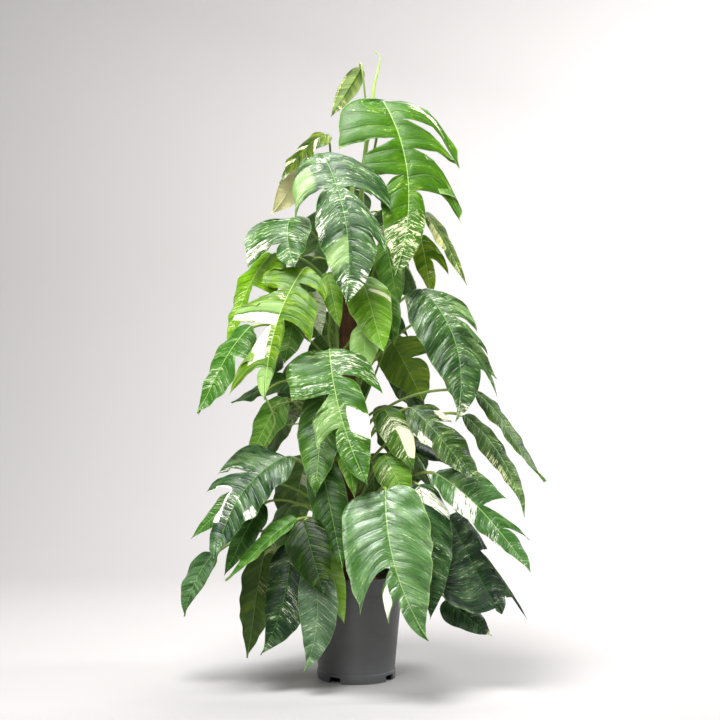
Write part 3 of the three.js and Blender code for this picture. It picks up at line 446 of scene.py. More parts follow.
class Nodes:
    """Adds nodes to a tree. A value is a number, a colour or another node's socket."""

    def __init__(self, tree):
        self.tree = tree
        tree.nodes.clear()

    def node(self, kind, values=(), **settings):
        made = self.tree.nodes.new(kind)
        for key, value in settings.items():
            setattr(made, key, value)
        for key, value in dict(values).items():
            if isinstance(value, bpy.types.NodeSocket):
                self.tree.links.new(value, made.inputs[key])
            else:
                made.inputs[key].default_value = value
        return made

    def add(self, kind, values=(), out=0, **settings):
        return self.node(kind, values, **settings).outputs[out]

    def maths(self, operation, *values, clamp=False):
        return self.add("ShaderNodeMath", enumerate(values), operation=operation,
                        use_clamp=clamp)

    def total(self, *terms):
        """The sum of (socket, factor) pairs and plain numbers."""
        whole = sum(term for term in terms if not isinstance(term, tuple))
        for socket, factor in (term for term in terms if isinstance(term, tuple)):
            whole = self.maths("MULTIPLY_ADD", socket, factor, whole)
        return whole

    def blend(self, share, low, high, **settings):
        values = {0: share, 6: paint(low), 7: paint(high)}
        return self.add("ShaderNodeMix", values, out=2, data_type="RGBA", **settings)

    def ease(self, value, low, high, start=0.0, end=1.0):
        return self.add("ShaderNodeMapRange", enumerate((value, low, high, start, end)),
                        interpolation_type="SMOOTHSTEP")

    def join(self, x, y, z):
        return self.add("ShaderNodeCombineXYZ", enumerate((x, y, z)))

    def split(self, vector):
        return self.node("ShaderNodeSeparateXYZ", {0: vector}).outputs[:]

    def attribute(self, name):
        """The three numbers of a vector attribute of the mesh."""
        return self.split(self.add("ShaderNodeAttribute", out=1, attribute_name=name))

    def place(self, *scale):
        """Places on the piece in metres, stretched if it says so."""
        place = self.add("ShaderNodeTexCoord", out=3)
        return self.add("ShaderNodeMapping", {0: place, 3: scale}) if scale else place

    def noise(self, place, scale=1.0, detail=2.0, rough=0.5, distortion=0.0):
        return self.add("ShaderNodeTexNoise", {
            "Vector": place, "Scale": scale, "Detail": detail, "Roughness": rough,
            "Distortion": distortion})

    def ramp(self, value, *stops):
        made = self.node("ShaderNodeValToRGB", {0: value})
        elements = made.color_ramp.elements
        while len(elements) < len(stops):
            elements.new(0.5)
        for element, (at, colour) in zip(elements, stops):
            element.position = at
            element.color = paint(colour)
        return made.outputs[0]

    def bump(self, height, distance, strength=1.0):
        return self.add("ShaderNodeBump", {
            "Height": height, "Distance": distance, "Strength": strength})

    def surface(self, colour, roughness, normal, **fixed):
        values = {"Base Color": colour, "Roughness": roughness, "Normal": normal}
        values.update({key.replace("_", " "): value for key, value in fixed.items()})
        shader = self.add("ShaderNodeBsdfPrincipled", values)
        self.node("ShaderNodeOutputMaterial", {"Surface": shader})


def paint(colour):
    """A colour with its alpha, or a socket as it is."""
    if isinstance(colour, bpy.types.NodeSocket) or len(colour) == 4:
        return colour
    return (*colour, 1.0)


def new_material(name):
    material = bpy.data.materials.new(name)
    material.use_nodes = True
    return material, Nodes(material.node_tree)


def lerp(low, high, share):
    """The number or point at a share of the way from low to high."""
    return low + (high - low) * share


def smooth(value, low, high):
    """Rises from 0 to 1 between low and high."""
    x = min(1.0, max(0.0, (value - low) / (high - low)))
    return x * x * (3 - 2 * x)


def sideways(degrees):
    """A level direction, in degrees from the front towards +X."""
    return Vector((math.sin(math.radians(degrees)), -math.cos(math.radians(degrees)), 0))


def shown(thing):
    """Puts an object in the scene and gives it back."""
    bpy.context.scene.collection.objects.link(thing)
    return thing


def finish_piece(piece, slot, *nodes):
    """Puts a piece on the plant: it rides on the one body and stands for the nodes."""
    if piece.name not in bpy.context.scene.collection.objects:
        shown(piece)
    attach(piece, "root")
    if nodes:
        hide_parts(*nodes)


def mesh_object(name, points, faces):
    """An object with a mesh of these points and faces, shaded smooth."""
    mesh = bpy.data.meshes.new(name)
    mesh.from_pydata(points, [], faces)
    mesh.validate()
    mesh.shade_smooth()
    return bpy.data.objects.new(name, mesh)


def object_of(made, name):
    """An object with a bmesh as its mesh. The bmesh goes."""
    mesh = bpy.data.meshes.new(name)
    made.to_mesh(mesh)
    made.free()
    return bpy.data.objects.new(name, mesh)


def settled(host, name, material=None):
    """The result of a host's modifiers as a plain mesh of its own. The host goes."""
    graph = bpy.context.evaluated_depsgraph_get()
    mesh = bpy.data.meshes.new_from_object(host.evaluated_get(graph), depsgraph=graph)
    mesh.name = name
    bpy.data.objects.remove(host)
    if material:
        mesh.materials.clear()
        mesh.materials.append(material)
    return bpy.data.objects.new(name, mesh)


def grow_tree(host, tree, **inputs):
    """Gives the host a geometry node tree, with the tree's inputs set by name."""
    modifier = host.modifiers.new(tree.name, "NODES")
    modifier.node_group = tree
    for item in tree.interface.items_tree:
        if item.in_out == "INPUT" and item.name in inputs:
            modifier[item.identifier] = inputs[item.name]
    return host


def new_tree(name, *inputs):
    """A geometry node tree with named inputs, its builder and its inputs' sockets."""
    tree = bpy.data.node_groups.new(name, "GeometryNodeTree")
    tree.interface.new_socket("Geometry", in_out="INPUT", socket_type="NodeSocketGeometry")
    for label, kind in inputs:
        tree.interface.new_socket(label, in_out="INPUT", socket_type=f"NodeSocket{kind}")
    tree.interface.new_socket("Geometry", in_out="OUTPUT", socket_type="NodeSocketGeometry")
    nodes = Nodes(tree)
    return tree, nodes, nodes.node("NodeGroupInput").outputs


def end_tree(nodes, geometry, material):
    """Ends a tree as plain geometry in its material."""
    plain = nodes.add("GeometryNodeRealizeInstances", {0: geometry})
    done = nodes.add("GeometryNodeSetMaterial", {"Geometry": plain, "Material": material})
    nodes.node("NodeGroupOutput", {0: done})


def swept_tree():
    """Sweeps a round section along each path, as thick as the path says at each point."""
    tree, nodes, given = new_tree("swept_path", ("Sides", "Int"), ("Material", "Material"))
    path = nodes.add("GeometryNodeMeshToCurve", {"Mesh": given["Geometry"]})
    girth = nodes.add("GeometryNodeInputNamedAttribute", {"Name": "girth"},
                      data_type="FLOAT")
    section = nodes.add("GeometryNodeCurvePrimitiveCircle",
                        {"Resolution": given["Sides"], "Radius": 1.0})
    swept = nodes.add("GeometryNodeCurveToMesh", {
        "Curve": path, "Profile Curve": section, "Scale": girth, "Fill Caps": True})
    soft = nodes.add("GeometryNodeSetShadeSmooth", {"Geometry": swept})
    end_tree(nodes, soft, given["Material"])
    return tree


def smooth_line(points, steps):
    """Points along a smooth line through the given ones."""
    ends = [points[0] * 2 - points[1], *points, points[-1] * 2 - points[-2]]
    line = []
    for a, b, c, d in zip(ends, ends[1:], ends[2:], ends[3:]):
        for i in range(steps):
            t = i / steps
            line.append(0.5 * (2 * b + (c - a) * t + (2 * a - 5 * b + 4 * c - d) * t * t
                               + (3 * b - a - 3 * c + d) * t ** 3))
    return line + [points[-1]]


def swept_paths(name, paths, sides, material):
    """One mesh of every path in millimetres, each a list of (point, radius, age)."""
    points, edges, girths, ages = [], [], [], []
    for path in paths:
        first = len(points)
        edges += [(first + i, first + i + 1) for i in range(len(path) - 1)]
        points += [point * MM for point, _, _ in path]
        girths += [radius * MM for _, radius, _ in path]
        ages += [age for _, _, age in path]
    mesh = bpy.data.meshes.new(name)
    mesh.from_pydata(points, edges, [])
    mesh.attributes.new("girth", "FLOAT", "POINT").data.foreach_set("value", girths)
    mesh.attributes.new("age", "FLOAT", "POINT").data.foreach_set("value", ages)
    host = shown(bpy.data.objects.new(f"{name}_paths", mesh))
    tree = bpy.data.node_groups.get("swept_path") or swept_tree()
    grow_tree(host, tree, Sides=sides, Material=material)
    return settled(host, name)


def stem_point(vine, height):
    """Where a vine's middle line is at a height."""
    turn, wander, phase, _, lean = VINES[vine]
    swing = math.sin(max(height, MIX_TOP) / WANDER_HEIGHT + phase)
    past = max(0.0, (height - POLE_TOP) / LEAN_HEIGHT) ** 1.5
    off = sideways(turn + wander * swing) * OFF_POLE
    return Vector((POLE_X + off.x + lean[0] * past, off.y + lean[1] * past, height))


# A blade's side veins, and the least gap between two. The rows of its mesh crowd below a slit,
# and its columns are shares of the web beside the rib, and then of the half past it.
VEINS = 13
VEIN_GAP_LEAST = 13
ROW_EASE = 1.5
WEB_COLUMNS = (0.12, 0.35, 0.7)
COLUMNS = (0.03, 0.09, 0.18, 0.3, 0.44, 0.58, 0.72, 0.85, 0.94, 1)


class Leaf:
    """A leaf in its own frame: down runs from the blade's base to its tip, out is the way its
    upper face looks, and side is to the right."""

    def __init__(self, name, vine, start, base, tip, half, face, left=(), right=(), lift=LIFT,
                 curl=0.0, bend=0.0, fold=FOLD, droop=DROOP, heart=HEART, web=WEB,
                 stalk=(0.0, 0.2), grown=False):
        self.name, self.vine, self.start, self.grown = name, vine, start, grown
        self.half, self.left, self.right, self.web = half, left, right, web
        self.lift, self.curl, self.bend = lift, curl, bend
        self.fold, self.droop, self.heart, self.stalk = fold, droop, heart, stalk
        self.base = Vector(base)
        self.down = Vector(tip) - self.base
        self.length = self.down.length
        self.down.normalize()
        turn, tilt = face
        out = sideways(turn) * math.cos(math.radians(tilt))
        out.z = math.sin(math.radians(tilt))
        self.out = (out - self.down * out.dot(self.down)).normalized()
        self.side = self.out.cross(self.down)
        self.reach = max([*half, *(lobe[1] for lobe in (*left, *right))])
        self.vein_gap = max(VEIN_GAP_LEAST, self.length / VEINS)
        self.seed = random.Random(name).uniform(0, 50)

    def point(self, along, across, share):
        """A point of the blade, along its length and across from its rib."""
        x = along / self.length
        rise = 3 * x * (1 - x) * (self.lift * (1 - x) + self.curl * x)
        q = abs(across) / self.reach
        cup = self.reach * (self.fold * q - self.droop * q * q)
        sway = 3 * self.bend * self.length * share * (1 - share)
        return (self.base + self.down * along + self.side * (across + sway)
                + self.out * (self.length * rise + cup))

    def sections(self, sign):
        """One side of the blade: its lobes in turn, and then the undivided end."""
        lobes = self.left if sign < 0 else self.right
        web = self.web if lobes else 0
        start, parts = 0, []
        for end, reach, drop, broad, *bow in lobes:
            parts.append((start, end, web, (reach, drop, broad, *(bow or [2 - 0.5 * broad]))))
            start = end
        parts.append((start, 1, web, self.half[0 if sign < 0 else 1]))
        return parts

    def place(self, part, s, t):
        """How far down and across a point of a section is, and where its rib point lies."""
        start, end, web, form = part
        share = lerp(start, end, s)
        width = (end - start) * self.length
        web *= 1 - share ** 3
        rib = share
        if isinstance(form, tuple):
            reach, drop, broad, bow = form
            edge = max(web, reach * (1 - broad * (1 - shoulder(s))))
            fall = drop * (1 - broad * (1 - s))
            across = lerp(web, edge, t)
            along = start * self.length + lerp(s * width, fall, t ** (bow + 0.6 * s))
            rib = lerp(share, (start + end) / 2, t)
        else:
            across = lerp(web, web + (form - web) * shoulder(s) * taper(s), t)
            along = share * self.length + width * sweep(s) * t ** 1.5
        if start == 0:
            along -= self.heart * across * (1 - s) ** 5 * t
        return along, across, rib, share

    def rows(self, step):
        """The shares of the rib that the mesh has rows at, closer together below a slit."""
        slits = {lobe[0] for lobe in (*self.left, *self.right)}
        marks = sorted({0, 1} | slits)
        rows = [0]
        for low, high in zip(marks, marks[1:]):
            count = max(3, math.ceil((high - low) * self.length / step))
            rows += [lerp(low, high, (k / count) ** ROW_EASE) for k in range(1, count + 1)]
        return rows


def shoulder(s):
    """How wide a section is at a share of its own length: it widens soon and then stays."""
    return (1 - (1 - s) ** 6) ** 0.55


def taper(s):
    """How the undivided end narrows towards the tip."""
    return 1.25 * (1 - s ** 1.9) ** 1.5


def sweep(s):
    """How far the undivided end's margin lies ahead of its rib, as a share of its length."""
    return 0.8 * s ** 1.6 * (1 - s) ** 1.2


def back_leaf(height, turn, number):
    """A leaf at the back, worked out from its ring's height and its turn."""
    low = (BACK_TOP - height) / BACK_TOP
    radius = lerp(*BACK_BASE_RADIUS, low)
    length = lerp(*BACK_LENGTH, low) * (1 + 0.08 * math.sin(5 * number))
    width = length * BACK_WIDTH
    yaw = BACK_YAW * math.sin(3 * number)
    base = sideways(turn) * radius + Vector((POLE_X, 0, height))
    tip = base + sideways(turn + yaw) * BACK_OUT * length - Vector((0, 0, BACK_DOWN * length))
    beside = turn < SIDE_TURNS[0] or turn > SIDE_TURNS[1]
    side_vine = "right" if turn < 180 else "left"
    left = ((0.34, width, 0.42 * length, 0.9),) if number % 3 == 1 else ()
    right = ((0.3, width, 0.4 * length, 0.8),) if number % 6 == 2 else ()
    return Leaf(name=f"back_{number}", vine=side_vine if beside else "back",
                grown=not beside, start=height - BACK_FALL * radius, base=base, tip=tip,
                half=(width, width), face=(turn + yaw / 2, BACK_TILT), lift=0.12,
                left=left, right=right)


def all_leaves():
    """The listed leaves, and then those of the rings round the back."""
    rings = [(height, turn) for height, turns in BACK_RINGS for turn in turns]
    backs = [back_leaf(height, turn, i + 1) for i, (height, turn) in enumerate(rings)]
    return [Leaf(*entry[:-1], **entry[-1]) for entry in LEAVES] + backs


def look_of(leaf):
    """A leaf's look. One at the back gets its own by chance, from a fixed seed."""
    if leaf.name in LOOKS:
        return LOOKS[leaf.name]
    draw = random.Random(f"look {leaf.name}")
    start = draw.uniform(0.1, 0.6)
    sector = (draw.choice((-1, 1)), start, start + draw.uniform(0.12, 0.3),
              draw.uniform(0.4, 0.7))
    return (draw.uniform(0.2, 0.5), draw.uniform(0.1, 0.5), draw.uniform(0.2, 0.5),
            draw.uniform(0, 0.4), draw.uniform(-0.3, 0.5), draw.uniform(0.8, 1.3), (sector,))


# How a blade departs from a smooth sheet, in millimetres: the length of its margin's waves, the
# roll of its margin, how uneven it is, its twist for each millimetre across, and its tip's bend.
WAVE_LENGTH = 68
ROLL = 2.2
UNEVEN = 4
TWIST = 0.22
HOOK = 9
# How far from the rib each of them grows in, and how far down the blade its tip's bend does.
SWELL_FADE = (2, 14)
WAVE_FADE = (6, 40)
ROLL_FADE = (6, 30)
UNEVEN_FADE = (5, 35)
HOOK_FADE = (0.72, 1)
# A shorter blade than this swells less, and has a slighter rib.
FULL_LENGTH = 250
FULL_RIB_LENGTH = 260


def relief(leaf, blade, plump, part, s, t, across, share, veins, sign):
    """How far a point stands off the smooth sheet: the blade swells between its side veins,
    its margins wave and roll down, and it twists about its rib towards a bent tip."""
    lobed = isinstance(part[3], tuple)
    edge = t
    if lobed:
        edge = max(t ** 3, abs(2 * s - 1) ** 3 * min(1, 3 * t))
    step = t * leaf.reach if lobed else share * leaf.length
    size = min(1, leaf.length / FULL_LENGTH)
    swell = blade.swell / MM * plump * (abs(math.sin(math.pi * veins)) ** 0.6 - 0.66)
    swell *= smooth(across, *SWELL_FADE) * (1 - edge ** 4) * size
    turns = 2 * math.pi * step / WAVE_LENGTH
    wave = math.sin(turns + leaf.seed + 2 * sign) + 0.7 * math.sin(turns * 1.9 + 3 * leaf.seed)
    wave *= blade.wave / MM * edge ** 2 * smooth(across, *WAVE_FADE)
    roll = -ROLL * edge ** 5 * smooth(across, *ROLL_FADE)
    spot = Vector((across * sign, veins * leaf.vein_gap, 60 * leaf.seed)) / 60
    uneven = UNEVEN * noise.noise(spot) * smooth(across, *UNEVEN_FADE) * size
    twist = TWIST * math.sin(7 * leaf.seed) * (share - 0.3) * across * sign
    hook = HOOK * math.sin(11 * leaf.seed) * smooth(share, *HOOK_FADE) ** 2 * size
    return swell + wave + roll + uneven + twist + hook, edge


# Rows this near to a section's end belong to it. A sector's edge is this soft down the blade
# and across it. Side veins leave the rib forwards, bend on towards the tip and waver, and the
# margin wavers too. Leaves that grew with their vine have longer steps between their rows.
NEAR = 1e-6
SECTOR_EDGE = (0.035, 0.12)
VEIN_SWEEP = (0.55, 0.004)
VEIN_WAVER = (0.45, 80)
MARGIN_WAVER = (0.07, 26)
GROWN_STEP = 1.5


def blade_sheet(leaf, blade, look):
    """The blade's middle sheet: points, what each knows for its colours, and faces."""
    points, facts, faces, known = [], [], [], {}
    *_, plump, sectors = look

    def add(position, fact):
        key = tuple(round(c * 1000) for c in position)
        if key not in known:
            known[key] = len(points)
            points.append(position)
            facts.append(fact)
        return known[key]

    def within(value, low, high, edge):
        return smooth(value, low - edge, low + edge) * (1 - smooth(value, high - edge, high + edge))

    def pale(sign, down, t):
        """The strongest sector at a point."""
        most = 0.0
        for side, low, high, strength, *band in sectors:
            if side in (0, sign):
                inside = within(down, low, high, SECTOR_EDGE[0])
                inside *= within(t, *(band or (-1, 2)), SECTOR_EDGE[1])
                most = max(most, strength * inside, key=abs)
        return most

    def spot(part, sign, s, t):
        along, across, rib, share = leaf.place(part, s, t)
        web = part[2] * (1 - share ** 3)
        out = max(0.0, across - web)
        down = share * leaf.length
        if not isinstance(part[3], tuple):
            down = along - VEIN_SWEEP[0] * out - VEIN_SWEEP[1] * out * out
        veins = down / leaf.vein_gap
        amount, length = VEIN_WAVER
        veins += amount * noise.noise(Vector((across / length, 0.5 * veins, leaf.seed + sign)))
        lift, edge = relief(leaf, blade, plump, part, s, t, across, share, veins, sign)
        amount, length = MARGIN_WAVER
        across *= 1 + amount * t * t * noise.noise(Vector((down / length, leaf.seed, 3 * sign)))
        way = math.hypot(across, along - share * leaf.length)
        fact = (sign * way / 100, veins, edge, across, share,
                pale(sign, down / leaf.length, t))
        return add(leaf.point(along, sign * across, rib) + leaf.out * lift, fact)

    rows = leaf.rows(blade.step / MM * (GROWN_STEP if leaf.grown else 1))
    for sign in (-1, 1):
        for part in leaf.sections(sign):
            shares = [u for u in rows if part[0] - NEAR <= u <= part[1] + NEAR]
            grid = []
            for u in shares:
                s = (u - part[0]) / (part[1] - part[0])
                down = u * leaf.length
                vein = down / leaf.vein_gap
                tint = pale(sign, u, 0)
                line = [add(leaf.point(down, 0, u), (0, vein, 0, 0, u, tint))]
                web = part[2] * (1 - u ** 3)
                for share in WEB_COLUMNS if part[2] else ():
                    line.append(add(leaf.point(down, sign * web * share, u),
                                    (sign * web * share / 100, vein, 0, web * share, u,
                                     tint)))
                if part[2]:
                    line.append(spot(part, sign, s, 0))
                grid.append(line + [spot(part, sign, s, t) for t in COLUMNS])
            for low, high in zip(grid, grid[1:]):
                for k in range(1, len(low)):
                    corners = [low[k - 1], high[k - 1], high[k], low[k]]
                    corners = [c for i, c in enumerate(corners) if c != corners[i - 1]]
                    if len(set(corners)) == len(corners) > 2:
                        faces.append(corners if sign > 0 else corners[::-1])
    return points, facts, faces


def blade_normals(points, faces):
    """The way the sheet faces at each of its points."""
    normals = [Vector() for _ in points]
    for face in faces:
        corners = [points[i] for i in face]
        if len(corners) == 4:
            normal = (corners[2] - corners[0]).cross(corners[3] - corners[1])
        else:
            normal = (corners[1] - corners[0]).cross(corners[2] - corners[0])
        for i in face:
            normals[i] += normal
    return [normal.normalized() for normal in normals]


def rims(faces):
    """The edges of a sheet that only one face has, in that face's order."""
    edges = {}
    for face in faces:
        for i, corner in enumerate(face):
            pair = face[i - 1], corner
            if edges.pop(pair[::-1], None) is None:
                edges[pair] = True
    return list(edges)


# How much a blade thins towards its margin, how much its rib narrows towards the tip, and the
# rib's groove: its depth in millimetres and its width as a share of the rib's. Edges sharper
# than these degrees aren't shaded smooth.
THINNING = 0.6
RIB_NARROWS = 0.65
GROOVE_DEPTH, GROOVE_WIDTH = 0.5, 0.5
SHARP_BLADE = 55


def blade_piece(leaf, blade, materials):
    """The blade as a closed mesh: its sheet with a thickness that thins towards the margin,
    a ridge under the rib and a groove on it."""
    look = look_of(leaf)
    points, facts, faces = blade_sheet(leaf, blade, look)
    normals = blade_normals(points, faces)
    half = blade.thickness / MM / 2
    depth, width = blade.rib_depth / MM, blade.rib_width / MM
    size = min(1, leaf.length / FULL_RIB_LENGTH)
    depth *= size
    upper, lower, ribs = [], [], []
    for point, normal, (_, _, edge, across, share, _) in zip(points, normals, facts):
        body = half * (1 - THINNING * edge ** 3)
        wide = width * (1 - RIB_NARROWS * share) * size
        ridge = depth * (1 - share) ** 0.7 * math.exp(-(across / wide) ** 2)
        groove = GROOVE_DEPTH * (1 - share) * math.exp(-(across / wide / GROOVE_WIDTH) ** 2)
        upper.append((point + normal * (body - groove)) * MM)
        lower.append((point - normal * (body + ridge)) * MM)
        ribs.append(across / wide)
    count = len(points)
    skin = [tuple(face) for face in faces]
    skin += [tuple(i + count for i in reversed(face)) for face in faces]
    skin += [(b, a, a + count, b + count) for a, b in rims(faces)]
    piece = mesh_object(f"blade_{leaf.name}", upper + lower, skin)
    mesh = piece.data
    shade, wash, fleck, warm, tint, plump, _ = look
    columns = {
        "veins": [(u, v, leaf.seed) for u, v, *_ in facts],
        "look": [(shade, wash, fact[5]) for fact in facts],
        "place": [(rib, fact[2], warm) for rib, fact in zip(ribs, facts)],
        "skin": [(tint, fleck, plump)] * count,
    }
    for name, rows in columns.items():
        values = [number for row in rows * 2 for number in row]
        mesh.attributes.new(name, "FLOAT_VECTOR", "POINT").data.foreach_set("vector", values)
    for material in materials:
        mesh.materials.append(material)
    for polygon in mesh.polygons[len(faces):2 * len(faces)]:
        polygon.material_index = 1
    mesh.set_sharp_from_angle(angle=math.radians(SHARP_BLADE))
    return piece


def leaf_colour(nodes, blade, under):
    """The leaf's colour, its fine noise, how near a side vein is, its puckers and plumpness."""
    across, along, seed = nodes.attribute("veins")
    shade, wash, pale = nodes.attribute("look")
    rib, edge, warm = nodes.attribute("place")
    tint, fleck, plump = nodes.attribute("skin")

    def noise_at(wide, down, shift, detail, rough=0.5, distortion=0.0):
        place = nodes.join(nodes.maths("MULTIPLY", across, wide),
                           nodes.maths("MULTIPLY", along, down),
                           nodes.maths("ADD", seed, shift))
        return nodes.noise(place, detail=detail, rough=rough, distortion=distortion)

    streak = noise_at(3.4, 5.6, 0.0, 8, 0.7, 0.9)
    blotch = noise_at(1.6, 0.8, 9.0, 2)
    fine = noise_at(9.0, 17.0, 3.0, 5, 0.7, 0.5)
    pucker = nodes.maths("MULTIPLY", noise_at(1.7, 2.4, 5.0, 3), plump)
    vein = nodes.maths("PINGPONG", along, 0.5)

    # The green is a little darker along each side vein and lighter between them: painted shade in
    # the valleys of the quilting.
    tone = nodes.total((shade, 1.0), (blotch, 0.5), (streak, 0.8), (fine, 0.5),
                       (nodes.ease(vein, 0.0, 0.3), 0.08), -0.96)
    green = nodes.ramp(tone, (0.0, blade.dark), (0.5, blade.green), (1.0, blade.lime))
    hue = nodes.ramp(nodes.total((tint, 0.5), 0.5), (0.0, blade.olive), (0.5, (1, 1, 1)),
                     (1.0, blade.cool))
    pale_colour = nodes.ramp(warm, (0.0, blade.white), (0.5, blade.cream), (1.0, blade.tan))
    grey = nodes.maths("MULTIPLY", nodes.maths("MINIMUM", pale, 0.0), -1.6)
    washed = nodes.total((wash, 1.0), (blotch, 1.0), (streak, 0.9), (fine, 0.4), -1.15)
    colour = nodes.blend(nodes.ease(washed, 0.0, 1.1, 0.0, 0.66), green, blade.marble)
    colour = nodes.blend(1.0, colour, hue, blend_type="MULTIPLY")
    patchy = nodes.total((grey, 1.0), (blotch, 0.4), (streak, 0.9), (fine, 0.4), -0.95)
    colour = nodes.blend(nodes.ease(patchy, 0.1, 1.1, 0.0, 0.7), colour, blade.marble)
    flecked = nodes.total((fleck, 0.5), (streak, 1.2), (blotch, 0.4), (fine, 0.5), -1.39)
    speck = nodes.blend(nodes.ease(fine, 0.46, 0.62), blade.marble, pale_colour)
    colour = nodes.blend(nodes.ease(flecked, 0.0, 0.05, 0.0, 0.8), colour, speck)
    patch = nodes.total((pale, 1.0), (streak, 1.1), (fine, 0.8), -1.0)
    mottled = nodes.blend(nodes.ease(fine, 0.52, 0.7, 0.0, 0.4), pale_colour, blade.marble)
    colour = nodes.blend(nodes.ease(patch, 0.44, 0.54), colour, mottled)
    rib_colour = nodes.ramp(shade, (0.1, blade.green), (0.3, blade.marble), (0.6, blade.rib))
    colour = nodes.blend(nodes.ease(vein, 0.0, 0.05, 0.07, 0.0), colour, rib_colour)
    colour = nodes.blend(nodes.ease(edge, 0.95, 1.0, 0.0, 0.45), colour, rib_colour)
    if under:
        colour = nodes.blend(0.12, colour, blade.marble)
    colour = nodes.blend(nodes.ease(rib, 0.5, 1.0, 0.8, 0.0), colour, rib_colour)
    return colour, fine, vein, pucker, plump


def leaf_material(name, blade, under=False):
    """The blade's skin: glossy and sunken along its veins above, dull and ridged below."""
    material, nodes = new_material(name)
    colour, fine, vein, pucker, plump = leaf_colour(nodes, blade, under)
    place = nodes.place()
    net = nodes.add("ShaderNodeTexVoronoi", {"Vector": place, "Scale": 330.0},
                    feature="DISTANCE_TO_EDGE")
    groove = nodes.ease(vein, 0.0, 0.1)
    sign = -1 if under else 1
    height = nodes.total((groove, sign), (nodes.ease(net, 0.0, 0.12), 0.16 * sign),
                         (fine, 0.35), (pucker, 3.2 * sign))
    normal = nodes.bump(height, 0.00045)
    low, high = (0.5, 0.68) if under else (0.22, 0.38)
    rough = nodes.add("ShaderNodeMapRange", enumerate((fine, 0.3, 0.7, low, high)))
    sheen = 0.3 if under else nodes.ease(plump, 0.8, 2.0, 0.2, 0.8)
    nodes.surface(colour, rough, normal, Specular_IOR_Level=sheen)
    return material


def stem_material(stem):
    """Smooth green skin with fine lines, corky and brown towards the foot."""
    material, nodes = new_material("stem_skin")
    age = nodes.add("ShaderNodeAttribute", out=2, attribute_name="age")
    lines = nodes.noise(nodes.place(160.0, 160.0, 30.0), detail=4, rough=0.6)
    spots = nodes.noise(nodes.place(), scale=420.0, detail=3, rough=0.6)
    old = nodes.total((age, 1.0), (lines, 0.5), (spots, 0.3), -0.4)
    skin = nodes.ramp(old, (0.0, stem.pale), (0.35, stem.green), (0.72, stem.green),
                      (0.9, stem.bark))
    colour = nodes.blend(nodes.ease(spots, 0.55, 0.75, 0.0, 0.35), skin, stem.bark)
    height = nodes.total((lines, 0.7), (spots, 0.3))
    nodes.surface(colour, nodes.ease(old, 0.3, 1.0, 0.4, 0.8), nodes.bump(height, 0.0006))
    return material


def shoot_material(blade):
    """The thin skin of the rolled new leaf."""
    material, nodes = new_material("shoot_skin")
    lines = nodes.noise(nodes.place(300.0, 300.0, 40.0), detail=4, rough=0.6)
    colour = nodes.ramp(lines, (0.3, blade.lime), (0.6, blade.rib), (0.8, blade.cream))
    nodes.surface(colour, nodes.ease(lines, 0.2, 0.8, 0.34, 0.5), nodes.bump(lines, 0.0005))
    return material


def pot_material(pot):
    """Matte moulded plastic, dusty and scuffed towards the foot."""
    material, nodes = new_material("moulded_plastic")
    place = nodes.place()
    _, _, z = nodes.split(place)
    grain = nodes.noise(place, scale=900.0, detail=3, rough=0.6)
    cloud = nodes.noise(place, scale=14.0, detail=4, rough=0.6)
    rings = nodes.noise(nodes.place(9.0, 9.0, 420.0), detail=3, rough=0.55)
    foot = nodes.ease(z, 0.0, 0.07, 0.5, 0.0)
    dust = nodes.total((cloud, 0.8), (rings, 0.3), (foot, 1.0), -0.42)
    colour = nodes.blend(nodes.maths("MAXIMUM", dust, 0.0, clamp=True), pot.plastic, pot.dust)
    rough = nodes.total((cloud, 0.24), (grain, 0.12), (rings, 0.1), 0.3)
    height = nodes.total((grain, 0.5), (rings, 0.5))
    nodes.surface(colour, rough, nodes.bump(height, 0.00025))
    return material


def mix_material(mix, name, chips):
    """Peat between the chips, or the chips' own brown bark."""
    material, nodes = new_material(name)
    place = nodes.place()
    clods = nodes.noise(place, scale=90.0 if chips else 240.0, detail=5, rough=0.7)
    grain = nodes.noise(place, scale=700.0, detail=4, rough=0.7)
    low, high = (0.36, 0.62) if chips else (0.5, 0.8)
    colour = nodes.ramp(clods, (low, mix.dark), (high, mix.light))
    height = nodes.total((clods, 1.0), (grain, 0.4))
    nodes.surface(colour, nodes.ease(grain, 0.2, 0.8, 0.75, 0.95), nodes.bump(height, 0.002))
    return material


def coir_material(pole):
    """Rough brown fibre, each strand a little lighter or darker."""
    material, nodes = new_material("coir_fibre")
    place = nodes.place()
    strands = nodes.noise(place, scale=320.0, detail=5, rough=0.7, distortion=1.2)
    patches = nodes.noise(place, scale=26.0, detail=3)
    tone = nodes.total((strands, 0.8), (patches, 0.5), -0.15)
    colour = nodes.ramp(tone, (0.34, pole.shade), (0.66, pole.coir))
    nodes.surface(colour, nodes.ease(strands, 0.2, 0.8, 0.8, 0.95),
                  nodes.bump(strands, 0.0012))
    return material


def stage_material(stage):
    """Pale paper that glows a little out at the sides and front, and is clear from behind."""
    material, nodes = new_material("stage_paper")
    place = nodes.place()
    grain = nodes.noise(place, scale=3.0, detail=2)
    colour = nodes.blend(nodes.ease(grain, 0.3, 0.7, 0.0, 0.03), stage.pale, (0.5, 0.5, 0.5))
    x, y, _ = nodes.split(place)
    out = nodes.maths("MAXIMUM", nodes.maths("ABSOLUTE", x), nodes.maths("MULTIPLY", y, -1.0))
    paper = nodes.add("ShaderNodeBsdfPrincipled", {
        "Base Color": colour, "Roughness": 0.9, "Normal": nodes.bump(grain, 0.0001),
        "Emission Color": paint(stage.pale),
        "Emission Strength": nodes.ease(out, 2.0, 4.5, 0.0, stage.seen)})
    side = nodes.add("ShaderNodeNewGeometry", out="Backfacing")
    clear = nodes.add("ShaderNodeBsdfTransparent")
    mixed = nodes.add("ShaderNodeMixShader", {0: side, 1: paper, 2: clear})
    nodes.node("ShaderNodeOutputMaterial", {"Surface": mixed})
    return material


